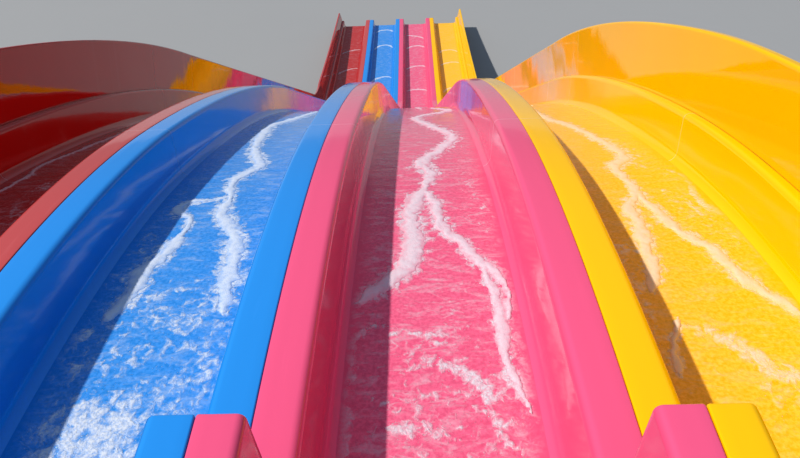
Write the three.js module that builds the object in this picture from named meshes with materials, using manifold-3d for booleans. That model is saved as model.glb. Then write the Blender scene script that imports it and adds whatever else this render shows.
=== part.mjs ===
// Four-lane water slide with its launch tower. Millimetres, +Z up, the lanes run along +Y.
// Each lane is a moulded trough. The four stand side by side on steel portals, and a tall
// outer wall closes each side. The origin is under the middle of the whole slide, on the ground.
import * as THREE from 'three';
import { mergeVertices } from 'three/addons/utils/BufferGeometryUtils.js';
import Module from 'manifold-3d';

const wasm = await Module();
wasm.setup();

// Driving dimensions
const lanePitch = 950;
const startHeight = 8930;
const tubLength = 950;
const bendStartY = 528;
const tubFrontFromBend = 352;
const troughDepth = 247;
const endDepth = 190;
const shell = 12;
const fit = 0.3;
const plateInset = 2;
const flangeDrop = 80;

// The slide's line seen from the side: a brow of two arcs, a straight chute, a bend, a run-out
const browRadius = 7820;
const browAngle = 20.3;
const shoulderRadius = 17200;
const chuteAngle = 33;
const chuteLength = 8890;
const bendRadius = 5350;
const runOutAngle = 9;
const endAngle = 5.5;
const runOutLength = 6050;

// One side of a trough, measured inward from its edge
const flangeWidth = 100;
const flangeEdge = 28;
const wallDraft = 14;
const bedFillet = 60;

// Start partitions between the tubs
const partitionRise = 380;
const partitionTop = 76;
const partitionEdge = 20;

// Tall outer walls: upright down the chute, flared through the bend, then lower towards the end
const creaseInset = 71;
const wallHeightStart = 420;
const wallHeightBrow = 370;
const wallHeightChute = 420;
const wallHeightBend = 370;
const wallHeightEnd = 255;
const wallFlare = 0.245;
const rimWidth = 42;
const rimDrop = 34;
const rimBend = 18;
const rimStep = 6;
const rimSlack = 4;

// Steel portals under the lanes
const columnRadius = 84;
const columnSpacing = 2000;
const beamLength = 3500;
const beamWidth = 200;
const beamDepth = 150;
const plateSize = 360;
const plateThick = 20;
const tieSpacing = 2900;
const tieRadius = 45;

// Launch tower
const towerColumnRadius = 110;
const towerColumnX = 1450;
const towerFrontY = 150;
const towerRearY = -2380;
const towerPlate = 440;
const frameWidth = 120;
const frameDepth = 200;
const deckHalfWidth = 2075;
const deckRearY = -2600;
const deckThick = 40;
const joistWidth = 80;
const joistCount = 6;
const braceRadius = 38;
const tieLevels = [2850, 5700];
const gussetSize = 260;
const gussetThick = 16;

// Facets round the steel tubes
const towerSides = 16;
const columnSides = 12;
const barSides = 8;

// Guard rails
const postSize = 50;
const railHeight = 1100;
const railSize = 44;
const lowRail = 120;
const balusterSize = 16;
const balusterPitch = 112;
const stairGap = 1200;
const railX = 2040;

const radians = THREE.MathUtils.degToRad;
const finishes = {
  red: { color: 0xb3151c, roughness: 0.22, metalness: 0 },
  blue: { color: 0x1769c9, roughness: 0.22, metalness: 0 },
  pink: { color: 0xe8467f, roughness: 0.22, metalness: 0 },
  yellow: { color: 0xf7bd08, roughness: 0.22, metalness: 0 },
  steel: { color: 0x8d949b, roughness: 0.5, metalness: 0.3 },
  deck: { color: 0x9a9c9d, roughness: 0.7, metalness: 0.1 },
};

const group = new THREE.Group();

function addPiece(name, geometry, finish) {
  const material = new THREE.MeshStandardMaterial(finishes[finish]);
  const mesh = new THREE.Mesh(geometry, material);
  mesh.name = name;
  group.add(mesh);
}

// Solids joined and cut
function toSolid(geometry) {
  const plain = geometry.clone();
  plain.deleteAttribute('normal');
  plain.deleteAttribute('uv');
  const merged = mergeVertices(plain, 0.001);
  const vertProperties = new Float32Array(merged.attributes.position.array);
  const triVerts = new Uint32Array(merged.index.array);
  return new wasm.Manifold(new wasm.Mesh({ numProp: 3, vertProperties, triVerts }));
}

function toGeometry(solid) {
  const mesh = solid.getMesh();
  const geometry = new THREE.BufferGeometry();
  geometry.setAttribute('position', new THREE.BufferAttribute(mesh.vertProperties, 3));
  geometry.setIndex(new THREE.BufferAttribute(mesh.triVerts, 1));
  return geometry;
}

function joined(geometries, cutters = []) {
  let solid = toSolid(geometries[0]);
  for (const geometry of geometries.slice(1)) {
    solid = solid.add(toSolid(geometry));
  }
  for (const cutter of cutters) {
    solid = solid.subtract(toSolid(cutter));
  }
  return toGeometry(solid);
}

function box(x0, x1, y0, y1, z0, z1) {
  const geometry = new THREE.BoxGeometry(x1 - x0, y1 - y0, z1 - z0);
  return geometry.translate((x0 + x1) / 2, (y0 + y1) / 2, (z0 + z1) / 2);
}

function upright(radius, x, y, z0, z1, sides) {
  const geometry = new THREE.CylinderGeometry(radius, radius, z1 - z0, sides);
  return geometry.rotateX(Math.PI / 2).translate(x, y, (z0 + z1) / 2);
}

function barBetween(radius, from, to) {
  const along = new THREE.Vector3().subVectors(to, from);
  const geometry = new THREE.CylinderGeometry(radius, radius, along.length(), barSides);
  const turn = new THREE.Quaternion();
  turn.setFromUnitVectors(new THREE.Vector3(0, 1, 0), along.clone().normalize());
  const middle = new THREE.Vector3().addVectors(from, to).multiplyScalar(0.5);
  return geometry.applyQuaternion(turn).translate(middle.x, middle.y, middle.z);
}

// Stations on the divider line: y, z and the downward angle there
function follow(from, radius, toAngle, steps) {
  const found = [];
  const bendSign = toAngle > from.angle ? 1 : -1;
  const startAngle = radians(from.angle);
  for (let step = 1; step <= steps; step += 1) {
    const angle = from.angle + ((toAngle - from.angle) * step) / steps;
    const turned = radians(angle);
    found.push({
      y: from.y + bendSign * radius * (Math.sin(turned) - Math.sin(startAngle)),
      z: from.z - bendSign * radius * (Math.cos(startAngle) - Math.cos(turned)),
      angle,
    });
  }
  return found;
}

function ahead(from, length) {
  const angle = radians(from.angle);
  return {
    y: from.y + length * Math.cos(angle),
    z: from.z - length * Math.sin(angle),
    angle: from.angle,
  };
}

const tubFrontAngle = THREE.MathUtils.radToDeg(Math.asin(tubFrontFromBend / browRadius));
const tubBackY = bendStartY + tubFrontFromBend - tubLength;
const tubBack = { y: tubBackY, z: startHeight, angle: 0 };
const bendStart = { y: bendStartY, z: startHeight, angle: 0 };
const tubLine = [tubBack, bendStart, ...follow(bendStart, browRadius, tubFrontAngle, 1)];
const browArc = [tubLine.at(-1), ...follow(tubLine.at(-1), browRadius, browAngle, 4)];
const browLine = [...browArc, ...follow(browArc.at(-1), shoulderRadius, chuteAngle, 4)];
const chuteLine = [browLine.at(-1), ahead(browLine.at(-1), chuteLength)];
const bendLine = [chuteLine.at(-1), ...follow(chuteLine.at(-1), bendRadius, runOutAngle, 5)];
const runOutRadius = runOutLength / radians(runOutAngle - endAngle);
const levelLine = [bendLine.at(-1), ...follow(bendLine.at(-1), runOutRadius, endAngle, 2)];
const runOutLine = [...bendLine, ...levelLine.slice(1)];

// A size that changes evenly from the first station of a line to its last
function graded(line, first, last) {
  const reach = line.at(-1).y - line[0].y;
  return line.map((station) => first + ((last - first) * (station.y - line[0].y)) / reach);
}

const sections = [
  { name: 'tub', line: tubLine, start: true },
  { name: 'brow', line: browLine, start: false },
  { name: 'chute', line: chuteLine, start: false },
  { name: 'run_out', line: runOutLine, start: false },
];
// Heights and outward leans of the outer wall at the first and last station of each section
const wallSections = [
  { name: 'tub', line: tubLine, heights: [wallHeightStart, wallHeightStart], leans: [0, 0] },
  { name: 'brow', line: browLine, heights: [wallHeightStart, wallHeightBrow], leans: [0, 0] },
  { name: 'chute', line: chuteLine, heights: [wallHeightBrow, wallHeightChute], leans: [0, 0] },
  { name: 'bend', line: bendLine, heights: [wallHeightChute, wallHeightBend], leans: [0, wallFlare] },
  {
    name: 'run_out',
    line: levelLine,
    heights: [wallHeightBend, wallHeightEnd],
    leans: [wallFlare, wallFlare],
  },
];
const depths = {
  tub: graded(tubLine, troughDepth, troughDepth),
  brow: graded(browLine, troughDepth, troughDepth),
  chute: graded(chuteLine, troughDepth, troughDepth),
  run_out: graded(runOutLine, troughDepth, endDepth),
};

// An outline swept along the stations. reshape(across, height, station number) fits it to each one.
function sweep(outline, line, reshape) {
  const shape = new THREE.Shape(outline.map(([across, height]) => new THREE.Vector2(across, height)));
  const steps = line.length - 1;
  const geometry = new THREE.ExtrudeGeometry(shape, { depth: steps, steps, bevelEnabled: false });
  const position = geometry.attributes.position;
  for (let index = 0; index < position.count; index += 1) {
    const number = steps - Math.round(position.getZ(index));
    const station = line[number];
    const angle = radians(station.angle);
    const [across, height] = reshape(position.getX(index), position.getY(index), number);
    let trim = 0;
    if (number === 0) trim = fit / 2;
    if (number === steps) trim = -fit / 2;
    const y = station.y + height * Math.sin(angle) + trim * Math.cos(angle);
    const z = station.z + height * Math.cos(angle) - trim * Math.sin(angle);
    position.setXYZ(index, across, y, z);
  }
  return geometry;
}

function arcPoints(acrossCentre, heightCentre, radius, fromAngle, toAngle, steps) {
  const points = [];
  for (let step = 0; step <= steps; step += 1) {
    const angle = radians(fromAngle + ((toAngle - fromAngle) * step) / steps);
    points.push([acrossCentre + radius * Math.cos(angle), heightCentre + radius * Math.sin(angle)]);
  }
  return points;
}

// One side of a trough: the visible face from edge to bed, then its underside
function sideFace(kind, inset) {
  const wallTop = flangeWidth + flangeEdge - inset;
  const filletCentre = wallTop + wallDraft + bedFillet;
  const fillet = arcPoints(filletCentre, bedFillet - troughDepth, bedFillet, 180, 270, 2);
  if (kind === 'partition') {
    const edgeCentre = partitionRise - partitionEdge;
    const edge = arcPoints(partitionTop, edgeCentre, partitionEdge, 90, 0, 2);
    return [[0, partitionRise], ...edge, [wallTop, -flangeEdge], ...fillet];
  }
  const edge = arcPoints(wallTop - flangeEdge, -flangeEdge, flangeEdge, 90, 0, 2);
  return [[0, 0], ...edge, ...fillet];
}

function sideUnder(kind, inset) {
  const wallTop = flangeWidth + flangeEdge - inset;
  const filletCentre = wallTop + wallDraft + bedFillet;
  const fillet = arcPoints(filletCentre, bedFillet - troughDepth, bedFillet + shell, 180, 270, 2);
  const top = kind === 'partition' ? partitionRise : 0;
  const corner = kind === 'partition' ? partitionTop : wallTop - flangeEdge;
  const drop = kind === 'partition' ? 2 * flangeDrop : flangeDrop;
  const flange = [[0, top - drop], [shell, top - drop], [shell, top - shell], [corner, top - shell]];
  const edgeDrop = kind === 'partition' ? partitionEdge : flangeEdge;
  const bevel = partitionTop + partitionEdge - shell;
  const turn = kind === 'partition' ? [[bevel, top - edgeDrop]] : [];
  return [...flange, ...turn, [wallTop - shell, -flangeEdge], ...fillet];
}

function troughOutline(left, right) {
  const face = [];
  const under = [];
  for (const [side, sign] of [[left, -1], [right, 1]]) {
    const place = ([across, height]) => [sign * (side.reach - across), height];
    face.push(sideFace(side.kind, side.inset).map(place));
    under.push(sideUnder(side.kind, side.inset).map(place));
  }
  return [...face[0], ...face[1].reverse(), ...under[1], ...under[0].reverse()];
}

// The depth taper leaves the flange alone and moves the bed and its fillets
function deepened(depthAt) {
  return (across, height, number) => {
    const extra = height < -flangeDrop ? depthAt[number] - troughDepth : 0;
    return [across, height - extra];
  };
}

// The outer wall is drawn upright at its start height, then raised or lowered and leant out
function raised(heights, leans) {
  return (across, height, number) => {
    const extra = height > wallHeightStart / 2 ? heights[number] - wallHeightStart : 0;
    const out = leans[number] * Math.max(0, height + extra);
    return [across + Math.sign(across) * out, height + extra];
  };
}

function asDrawn(across, height) {
  return [across, height];
}

function laneSide(outer, start) {
  return {
    kind: start && !outer ? 'partition' : 'divider',
    reach: lanePitch / 2 - (outer ? creaseInset : fit / 2),
    inset: outer ? creaseInset : 0,
  };
}

// The plate across a tub's back, let into the trough by half its thickness
function backPlate(left, right) {
  const half = shell / 2;
  const outline = [];
  for (const [side, sign] of [[left, -1], [right, 1]]) {
    const wallTop = flangeWidth + flangeEdge - side.inset;
    const filletCentre = wallTop + wallDraft + bedFillet;
    const fillet = arcPoints(filletCentre, bedFillet - troughDepth, bedFillet + half, 180, 270, 2);
    const rim = [[wallTop - flangeEdge, -plateInset], [wallTop - half, -flangeEdge]];
    const points = [...rim, ...fillet];
    const placed = points.map(([across, height]) => [sign * (side.reach - across), height]);
    outline.push(...(sign < 0 ? placed : placed.reverse()));
  }
  return sweep(outline, [tubBack, ahead(tubBack, shell)], asDrawn);
}

// The plates that close the ends of a half partition
function partitionEnds(side, sign) {
  const wallTop = flangeWidth + flangeEdge;
  const low = -flangeEdge * 2;
  const high = partitionRise - plateInset;
  const points = [
    [plateInset, low],
    [plateInset, high],
    [partitionTop, high],
    [partitionTop + partitionEdge - plateInset, partitionRise - partitionEdge],
    [wallTop - plateInset, -flangeEdge],
    [wallTop - plateInset, low],
  ];
  const outline = points.map(([across, height]) => [sign * (side.reach - across), height]);
  const front = tubLine.at(-1);
  const lines = [[tubBack, ahead(tubBack, shell)], [ahead(front, -shell), front]];
  return lines.map((line) => sweep(outline, line, asDrawn));
}

function addLane(colour, number) {
  const leftOuter = number === 0;
  const rightOuter = number === 3;
  const centre = (number - 1.5) * lanePitch;
  for (const section of sections) {
    const left = laneSide(leftOuter, section.start);
    const right = laneSide(rightOuter, section.start);
    const trough = sweep(troughOutline(left, right), section.line, deepened(depths[section.name]));
    let geometry = trough;
    if (section.start) {
      const ends = [backPlate(left, right)];
      if (!leftOuter) ends.push(...partitionEnds(left, -1));
      if (!rightOuter) ends.push(...partitionEnds(right, 1));
      geometry = joined([trough, ...ends]);
    }
    addPiece(`${colour}_${section.name}`, geometry.translate(centre, 0, 0), colour);
  }
}

// The tall outer wall stands on the crease of the outer lane and ends in a rolled rim
function addOuterWall(side, colour, sign) {
  const top = wallHeightStart;
  const outline = [
    [0, -flangeDrop],
    [0, 0],
    [0, top - rimBend],
    [rimStep / 2, top - rimStep],
    [shell, top],
    [rimWidth, top],
    [rimWidth, top - rimDrop],
    [rimWidth - shell, top - rimDrop],
    [rimWidth - shell, top - shell],
    [shell + rimSlack, top - shell],
    [shell, top - rimBend - rimSlack],
    [shell, 0],
    [shell, -flangeDrop],
  ];
  const crease = 2 * lanePitch - creaseInset + fit;
  const placed = outline.map(([across, height]) => [sign * (crease + across), height]);
  for (const { name, line, heights, leans } of wallSections) {
    const shaped = raised(graded(line, ...heights), graded(line, ...leans));
    addPiece(`${side}_wall_${name}`, sweep(placed, line, shaped), colour);
  }
}

// A point on the flat underside of the bed, part way along one facet of a section
function seatUnder(sectionName, facet, part) {
  const { line } = sections.find((section) => section.name === sectionName);
  const drop = deepened(depths[sectionName]);
  const ends = [facet, facet + 1].map((number) => {
    const station = line[number];
    const [, height] = drop(0, -troughDepth - shell, number);
    const angle = radians(station.angle);
    return { y: station.y + height * Math.sin(angle), z: station.z + height * Math.cos(angle) };
  });
  return {
    y: ends[0].y + part * (ends[1].y - ends[0].y),
    z: ends[0].z + part * (ends[1].z - ends[0].z),
    slope: Math.atan2(ends[0].z - ends[1].z, ends[1].y - ends[0].y),
  };
}

// A portal: two round columns on base plates, ties between them, and a beam laid to the slope
function addPortal(name, seat) {
  const down = fit + beamDepth / 2;
  const beamY = seat.y - down * Math.sin(seat.slope);
  const beamZ = seat.z - down * Math.cos(seat.slope);
  const beam = new THREE.BoxGeometry(beamLength, beamWidth, beamDepth);
  const pieces = [beam.rotateX(-seat.slope).translate(0, beamY, beamZ)];
  const half = columnSpacing / 2;
  const plateHalf = plateSize / 2;
  for (const x of [-half, half]) {
    pieces.push(upright(columnRadius, x, beamY, plateThick / 2, beamZ, columnSides));
    pieces.push(box(x - plateHalf, x + plateHalf, beamY - plateHalf, beamY + plateHalf, 0, plateThick));
  }
  const ties = Math.floor(beamZ / tieSpacing);
  for (let tie = 1; tie <= ties; tie += 1) {
    const z = (beamZ * tie) / (ties + 1);
    const from = new THREE.Vector3(-half, beamY, z);
    pieces.push(barBetween(tieRadius, from, new THREE.Vector3(half, beamY, z)));
  }
  addPiece(name, joined(pieces), 'steel');
}

const frameTop = startHeight - troughDepth - shell - fit;
const frameFrontY = bendStartY - frameWidth / 2;

function addTowerFrame() {
  const low = frameTop - frameDepth;
  const half = frameWidth / 2;
  const edge = deckHalfWidth - half;
  const pieces = [];
  for (const x of [-edge, -towerColumnX, 0, towerColumnX, edge]) {
    pieces.push(box(x - half, x + half, towerRearY - half, frameFrontY, low, frameTop));
  }
  const middleY = (towerRearY + towerFrontY) / 2;
  const crossings = [towerRearY, middleY, towerFrontY, frameFrontY - half];
  for (const y of crossings) {
    pieces.push(box(-deckHalfWidth, deckHalfWidth, y - half, y + half, low, frameTop));
  }
  addPiece('tower_frame', joined(pieces), 'steel');
}

function addDeck() {
  const low = startHeight - deckThick;
  const frontY = tubBack.y - fit;
  const pieces = [box(-deckHalfWidth, deckHalfWidth, deckRearY, frontY, low, startHeight)];
  const reach = deckHalfWidth - joistWidth / 2;
  for (let joist = 0; joist < joistCount; joist += 1) {
    const x = -reach + (2 * reach * joist) / (joistCount - 1);
    const half = joistWidth / 2;
    pieces.push(box(x - half, x + half, deckRearY, frontY, frameTop + fit, low + fit));
  }
  addPiece('deck', joined(pieces), 'deck');
}

function addTowerColumns() {
  const top = frameTop - frameDepth - fit;
  const plate = towerPlate / 2;
  const cap = towerColumnRadius + plateThick;
  for (const [place, y] of [['front', towerFrontY], ['rear', towerRearY]]) {
    for (const [side, x] of [['left', -towerColumnX], ['right', towerColumnX]]) {
      const column = upright(towerColumnRadius, x, y, plateThick / 2, top - plateThick / 2, towerSides);
      const foot = box(x - plate, x + plate, y - plate, y + plate, 0, plateThick);
      const head = box(x - cap, x + cap, y - cap, y + cap, top - plateThick, top);
      addPiece(`tower_column_${place}_${side}`, joined([column, foot, head]), 'steel');
    }
  }
}

// A flat bracing panel between two columns: level ties, one diagonal a bay, gussets at the knots
function addBrace(name, cornerA, cornerB) {
  const alongX = cornerA.x !== cornerB.x;
  const top = frameTop - frameDepth - gussetSize;
  const levels = [gussetSize, ...tieLevels, top];
  const knot = (corner, z) => new THREE.Vector3(corner.x, corner.y, z);
  const pieces = [];
  for (const z of tieLevels) {
    pieces.push(barBetween(braceRadius, knot(cornerA, z), knot(cornerB, z)));
  }
  for (let bay = 0; bay < levels.length - 1; bay += 1) {
    const [from, to] = bay % 2 ? [cornerB, cornerA] : [cornerA, cornerB];
    pieces.push(barBetween(braceRadius, knot(from, levels[bay]), knot(to, levels[bay + 1])));
  }
  const reach = towerColumnRadius + gussetSize;
  const thin = gussetThick / 2;
  const tall = gussetSize / 2;
  for (const corner of [cornerA, cornerB]) {
    const inward = alongX ? Math.sign(-corner.x) : Math.sign(cornerA.y + cornerB.y - 2 * corner.y);
    const ends = [0, inward * reach].sort((a, b) => a - b);
    for (const z of tieLevels) {
      const across = alongX ? [-thin, thin] : ends;
      const along = alongX ? ends : [-thin, thin];
      const x = corner.x;
      const y = corner.y;
      pieces.push(box(x + along[0], x + along[1], y + across[0], y + across[1], z - tall, z + tall));
    }
  }
  const clear = towerColumnRadius + fit;
  const cutters = [cornerA, cornerB].map(({ x, y }) => upright(clear, x, y, 0, startHeight, towerSides));
  addPiece(name, joined(pieces, cutters), 'steel');
}

// Guard rails: square posts, a top and a bottom rail, and upright bars between them
const railTop = startHeight + railHeight;
const railLevels = [startHeight + lowRail, railTop - railSize / 2];

function post(x, y, footZ) {
  const half = postSize / 2;
  return box(x - half, x + half, y - half, y + half, footZ, railTop - railSize / 2);
}

// Evenly spaced bars strictly between two ends
function barPlaces(from, to) {
  const bays = Math.ceil((to - from) / balusterPitch);
  const places = [];
  for (let bay = 1; bay < bays; bay += 1) {
    places.push(from + ((to - from) * bay) / bays);
  }
  return places;
}

function bar(x, y) {
  const half = balusterSize / 2;
  return box(x - half, x + half, y - half, y + half, railLevels[0], railLevels[1]);
}

function addSideRail(name, x) {
  const slim = railSize / 2;
  const backY = deckRearY + postSize / 2;
  const deckPosts = [backY, (backY + tubBack.y) / 2, tubBack.y - postSize];
  const frontY = frameFrontY - postSize / 2;
  const pieces = deckPosts.map((y) => post(x, y, startHeight + fit));
  pieces.push(post(x, frontY, frameTop + fit));
  for (const z of railLevels) {
    pieces.push(box(x - slim, x + slim, backY, frontY, z - slim, z + slim));
  }
  const posts = [...deckPosts, frontY];
  for (let bay = 0; bay < posts.length - 1; bay += 1) {
    pieces.push(...barPlaces(posts[bay], posts[bay + 1]).map((y) => bar(x, y)));
  }
  addPiece(name, joined(pieces), 'steel');
}

function addRearRail(name, sign) {
  const slim = railSize / 2;
  const y = deckRearY + postSize / 2;
  const outer = railX - postSize / 2 - fit;
  const inner = (stairGap + postSize) / 2;
  const middle = (inner + outer) / 2;
  const pieces = [inner, middle].map((x) => post(sign * x, y, startHeight + fit));
  const [from, to] = sign < 0 ? [-outer, -inner] : [inner, outer];
  for (const z of railLevels) {
    pieces.push(box(from, to, y - slim, y + slim, z - slim, z + slim));
  }
  const bars = [...barPlaces(inner, middle), ...barPlaces(middle, outer)];
  pieces.push(...bars.map((x) => bar(sign * x, y)));
  addPiece(name, joined(pieces), 'steel');
}

['red', 'blue', 'pink', 'yellow'].forEach(addLane);
addOuterWall('left', 'red', -1);
addOuterWall('right', 'yellow', 1);

const portals = [
  ['brow', 3, 0.5],
  ['brow', 6, 0.5],
  ['chute', 0, 0.23],
  ['chute', 0, 0.61],
  ['run_out', 0, 0.5],
  ['run_out', 5, 0.35],
  ['run_out', 6, 0.2],
  ['run_out', 6, 0.8],
];
portals.forEach(([section, facet, part], index) => {
  addPortal(`portal_${index + 1}`, seatUnder(section, facet, part));
});

addTowerFrame();
addDeck();
addTowerColumns();
const cornerAt = (x, y) => ({ x, y });
addBrace('brace_left', cornerAt(-towerColumnX, towerFrontY), cornerAt(-towerColumnX, towerRearY));
addBrace('brace_right', cornerAt(towerColumnX, towerFrontY), cornerAt(towerColumnX, towerRearY));
addBrace('brace_rear', cornerAt(-towerColumnX, towerRearY), cornerAt(towerColumnX, towerRearY));
addSideRail('guard_rail_left', -railX);
addSideRail('guard_rail_right', railX);
addRearRail('guard_rail_rear_left', -1);
addRearRail('guard_rail_rear_right', 1);

// The origin goes under the middle of the whole slide
const reach = new THREE.Box3().setFromObject(group);
group.position.y = -(reach.min.y + reach.max.y) / 2;
const slide = new THREE.Group();
slide.add(group);

export default slide;
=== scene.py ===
"""Looks of a four-lane water slide with its launch tower, around the packed CAD part.

Metres, +Z up, the lanes run along +Y. The sizes and colours that a user may change are the
properties below.
"""
import math
import random

import bmesh
import bpy
import numpy as np
from bpy.props import FloatProperty, FloatVectorProperty, IntProperty, PointerProperty
from mathutils import Matrix, Vector, noise


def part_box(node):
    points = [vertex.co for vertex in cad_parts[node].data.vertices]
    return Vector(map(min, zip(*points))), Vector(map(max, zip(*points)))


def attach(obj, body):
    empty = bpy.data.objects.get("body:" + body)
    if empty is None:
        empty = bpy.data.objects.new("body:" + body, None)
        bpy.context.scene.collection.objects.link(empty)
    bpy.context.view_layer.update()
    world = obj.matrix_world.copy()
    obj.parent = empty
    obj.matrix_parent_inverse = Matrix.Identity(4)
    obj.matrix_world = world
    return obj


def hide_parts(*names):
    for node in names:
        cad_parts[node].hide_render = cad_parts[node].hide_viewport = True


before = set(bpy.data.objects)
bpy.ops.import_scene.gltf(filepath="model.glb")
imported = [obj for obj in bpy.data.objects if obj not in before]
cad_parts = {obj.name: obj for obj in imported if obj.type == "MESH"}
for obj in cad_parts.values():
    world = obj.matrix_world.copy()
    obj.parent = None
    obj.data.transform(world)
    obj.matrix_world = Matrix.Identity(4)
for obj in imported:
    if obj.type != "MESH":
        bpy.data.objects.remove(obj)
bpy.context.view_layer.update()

bl_info = {
    "name": "Racer water slide",
    "version": (1, 0, 0),
    "blender": (4, 5, 0),
    "location": "3D View > Sidebar > Slide",
    "description": "Builds the lanes, steelwork, deck and running water of a racer slide",
    "category": "Object",
}

LANES = ("red", "blue", "pink", "yellow")
LAST_LANE = len(LANES) - 1
PORTALS = 8
SECTIONS = ("tub", "brow", "chute", "run_out")
WALL_SECTIONS = ("tub", "brow", "chute", "bend", "run_out")
SIDES = (("left", -1, "red"), ("right", 1, "yellow"))
CORNERS = ((-1, -1), (-1, 1), (1, -1), (1, 1))
BODY = "root"
DECK_FRONT_GAP = 0.0003
TUB_BACK_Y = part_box("deck")[1].y + DECK_FRONT_GAP
START_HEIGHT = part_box("deck")[1].z
SHARP_ANGLE = math.radians(35)


def length(name, description, default):
    """A length in metres that a user may change."""
    return FloatProperty(name=name, description=description, default=default, unit="LENGTH")


def turn(name, description, degrees):
    """An angle that a user may change."""
    return FloatProperty(
        name=name, description=description, default=math.radians(degrees), subtype="ANGLE"
    )


def amount(name, description, default):
    """A plain number that a user may change."""
    return FloatProperty(name=name, description=description, default=default)


def tint(name, description, default):
    """A colour that a user may change."""
    return FloatVectorProperty(
        name=name, description=description, default=default,
        size=3, min=0.0, max=1.0, subtype="COLOR",
    )


class SlideLine(bpy.types.PropertyGroup):
    """The slide's line seen from the side, along the tops of the dividers"""

    flat: length("Flat", "Level part from the back of the tubs to the brow", 0.598)
    brow_radius: length("Brow radius", "Radius of the upper brow", 7.82)
    brow_turn: turn("Brow turn", "Angle turned by the upper brow", 20.3)
    shoulder_radius: length("Shoulder radius", "Radius of the lower brow", 17.2)
    shoulder_turn: turn("Shoulder turn", "Angle turned by the lower brow", 12.7)
    chute: length("Chute", "Length of the straight chute", 8.89)
    bend_radius: length("Bend radius", "Radius of the bend below the chute", 5.35)
    bend_turn: turn("Bend turn", "Angle turned back by the bend", 24.0)
    run_out: length("Run-out", "Length of the run-out", 6.05)
    run_out_turn: turn("Run-out turn", "Angle turned back along the run-out", 3.5)
    tub: length("Tub", "Length of the seat moulding at the start", 0.9501)
    brow_trim: length("Brow trim", "Length of the short moulding at the brow's foot", 1.08)


class TroughSizes(bpy.types.PropertyGroup):
    """Cross-section of the moulded lanes"""

    pitch: length("Lane pitch", "Distance from one divider seam to the next", 0.95)
    depth: length("Depth", "Depth of the bed under the divider tops", 0.247)
    end_depth: length("End depth", "Depth of the bed at the end of the run-out", 0.19)
    flange: length("Flange", "Flat width of half a divider", 0.1)
    edge: length("Edge radius", "Rounding of the divider's edge", 0.028)
    draft: length("Draft", "How far the wall leans in over its height", 0.014)
    fillet: length("Fillet", "Rounding between wall and bed", 0.06)
    shell: length("Thickness", "Thickness of the laminate", 0.012)
    drop: length("Drop", "Turned-down edge along the seam", 0.08)
    seam: length("Seam radius", "Rounding of the flange along the seam", 0.005)
    gap: length("Seam gap", "Half of the gap between two lanes", 0.0005)
    crease: length("Crease", "How far in from the lane's edge the tall wall stands", 0.071)
    block_rise: length("Block rise", "Height of the start blocks over the dividers", 0.38)
    block_top: length("Block top", "Flat width of half a start block", 0.076)
    block_edge: length("Block edge", "Rounding of a start block", 0.02)


class WallSizes(bpy.types.PropertyGroup):
    """The tall walls outside the first and last lane"""

    start: length("Start height", "Height over the crease at the start", 0.42)
    brow: length("Brow height", "Height over the crease at the brow's foot", 0.37)
    chute: length("Chute height", "Height over the crease at the chute's foot", 0.42)
    bend: length("Bend height", "Height over the crease below the bend", 0.37)
    end: length("End height", "Height over the crease at the end", 0.255)
    flare: amount("Flare", "Outward lean for each metre of height, below the bend", 0.245)
    rim: length("Rim width", "Width of the rolled rim", 0.042)
    rim_drop: length("Rim drop", "Depth of the rim's turned-down edge", 0.034)
    rim_radius: length("Rim radius", "Rounding from wall to rim", 0.014)


class SteelSizes(bpy.types.PropertyGroup):
    """Portals, tower, deck and guard rails"""

    column: length("Portal column", "Radius of a portal's column", 0.084)
    spacing: length("Portal spacing", "Distance between a portal's columns", 2.0)
    beam_length: length("Beam length", "Length of a portal's beam", 3.5)
    beam_width: length("Beam width", "Width of a portal's beam", 0.2)
    beam_depth: length("Beam depth", "Depth of a portal's beam", 0.15)
    tie: length("Tie radius", "Radius of the ties between columns", 0.045)
    tie_spacing: length("Tie spacing", "Greatest height without a tie", 2.9)
    plate: length("Base plate", "Side of a portal's base plate", 0.36)
    plate_thick: length("Plate thickness", "Thickness of the base plates", 0.02)
    tower_column: length("Tower column", "Radius of a tower column", 0.11)
    tower_plate: length("Tower plate", "Side of a tower base plate", 0.44)
    frame_width: length("Frame width", "Width of the beams under the deck", 0.12)
    brace: length("Brace radius", "Radius of the tower's braces", 0.038)
    gusset: length("Gusset", "Side of the gusset plates", 0.26)
    post: length("Post", "Side of a guard rail post", 0.05)
    rail: length("Rail", "Side of a guard rail's level rails", 0.044)
    baluster: length("Baluster", "Thickness of the upright bars", 0.016)
    bar_pitch: length("Bar pitch", "Greatest distance between upright bars", 0.112)
    board: length("Board", "Width of a deck board", 0.138)
    joist: length("Joist", "Width of a joist", 0.08)


class WaterLook(bpy.types.PropertyGroup):
    """The film of running water with its lines of foam"""

    film: length("Film", "Thickness of the film", 0.004)
    ripple: length("Ripple", "Height of the ripples", 0.0016)
    foam_height: length("Foam height", "Height of a line of foam", 0.006)
    wander: length("Wander", "How far a line of foam strays from its path", 0.016)
    seed: IntProperty(name="Seed", description="Seed of the foam's paths", default=7, min=1)


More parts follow.
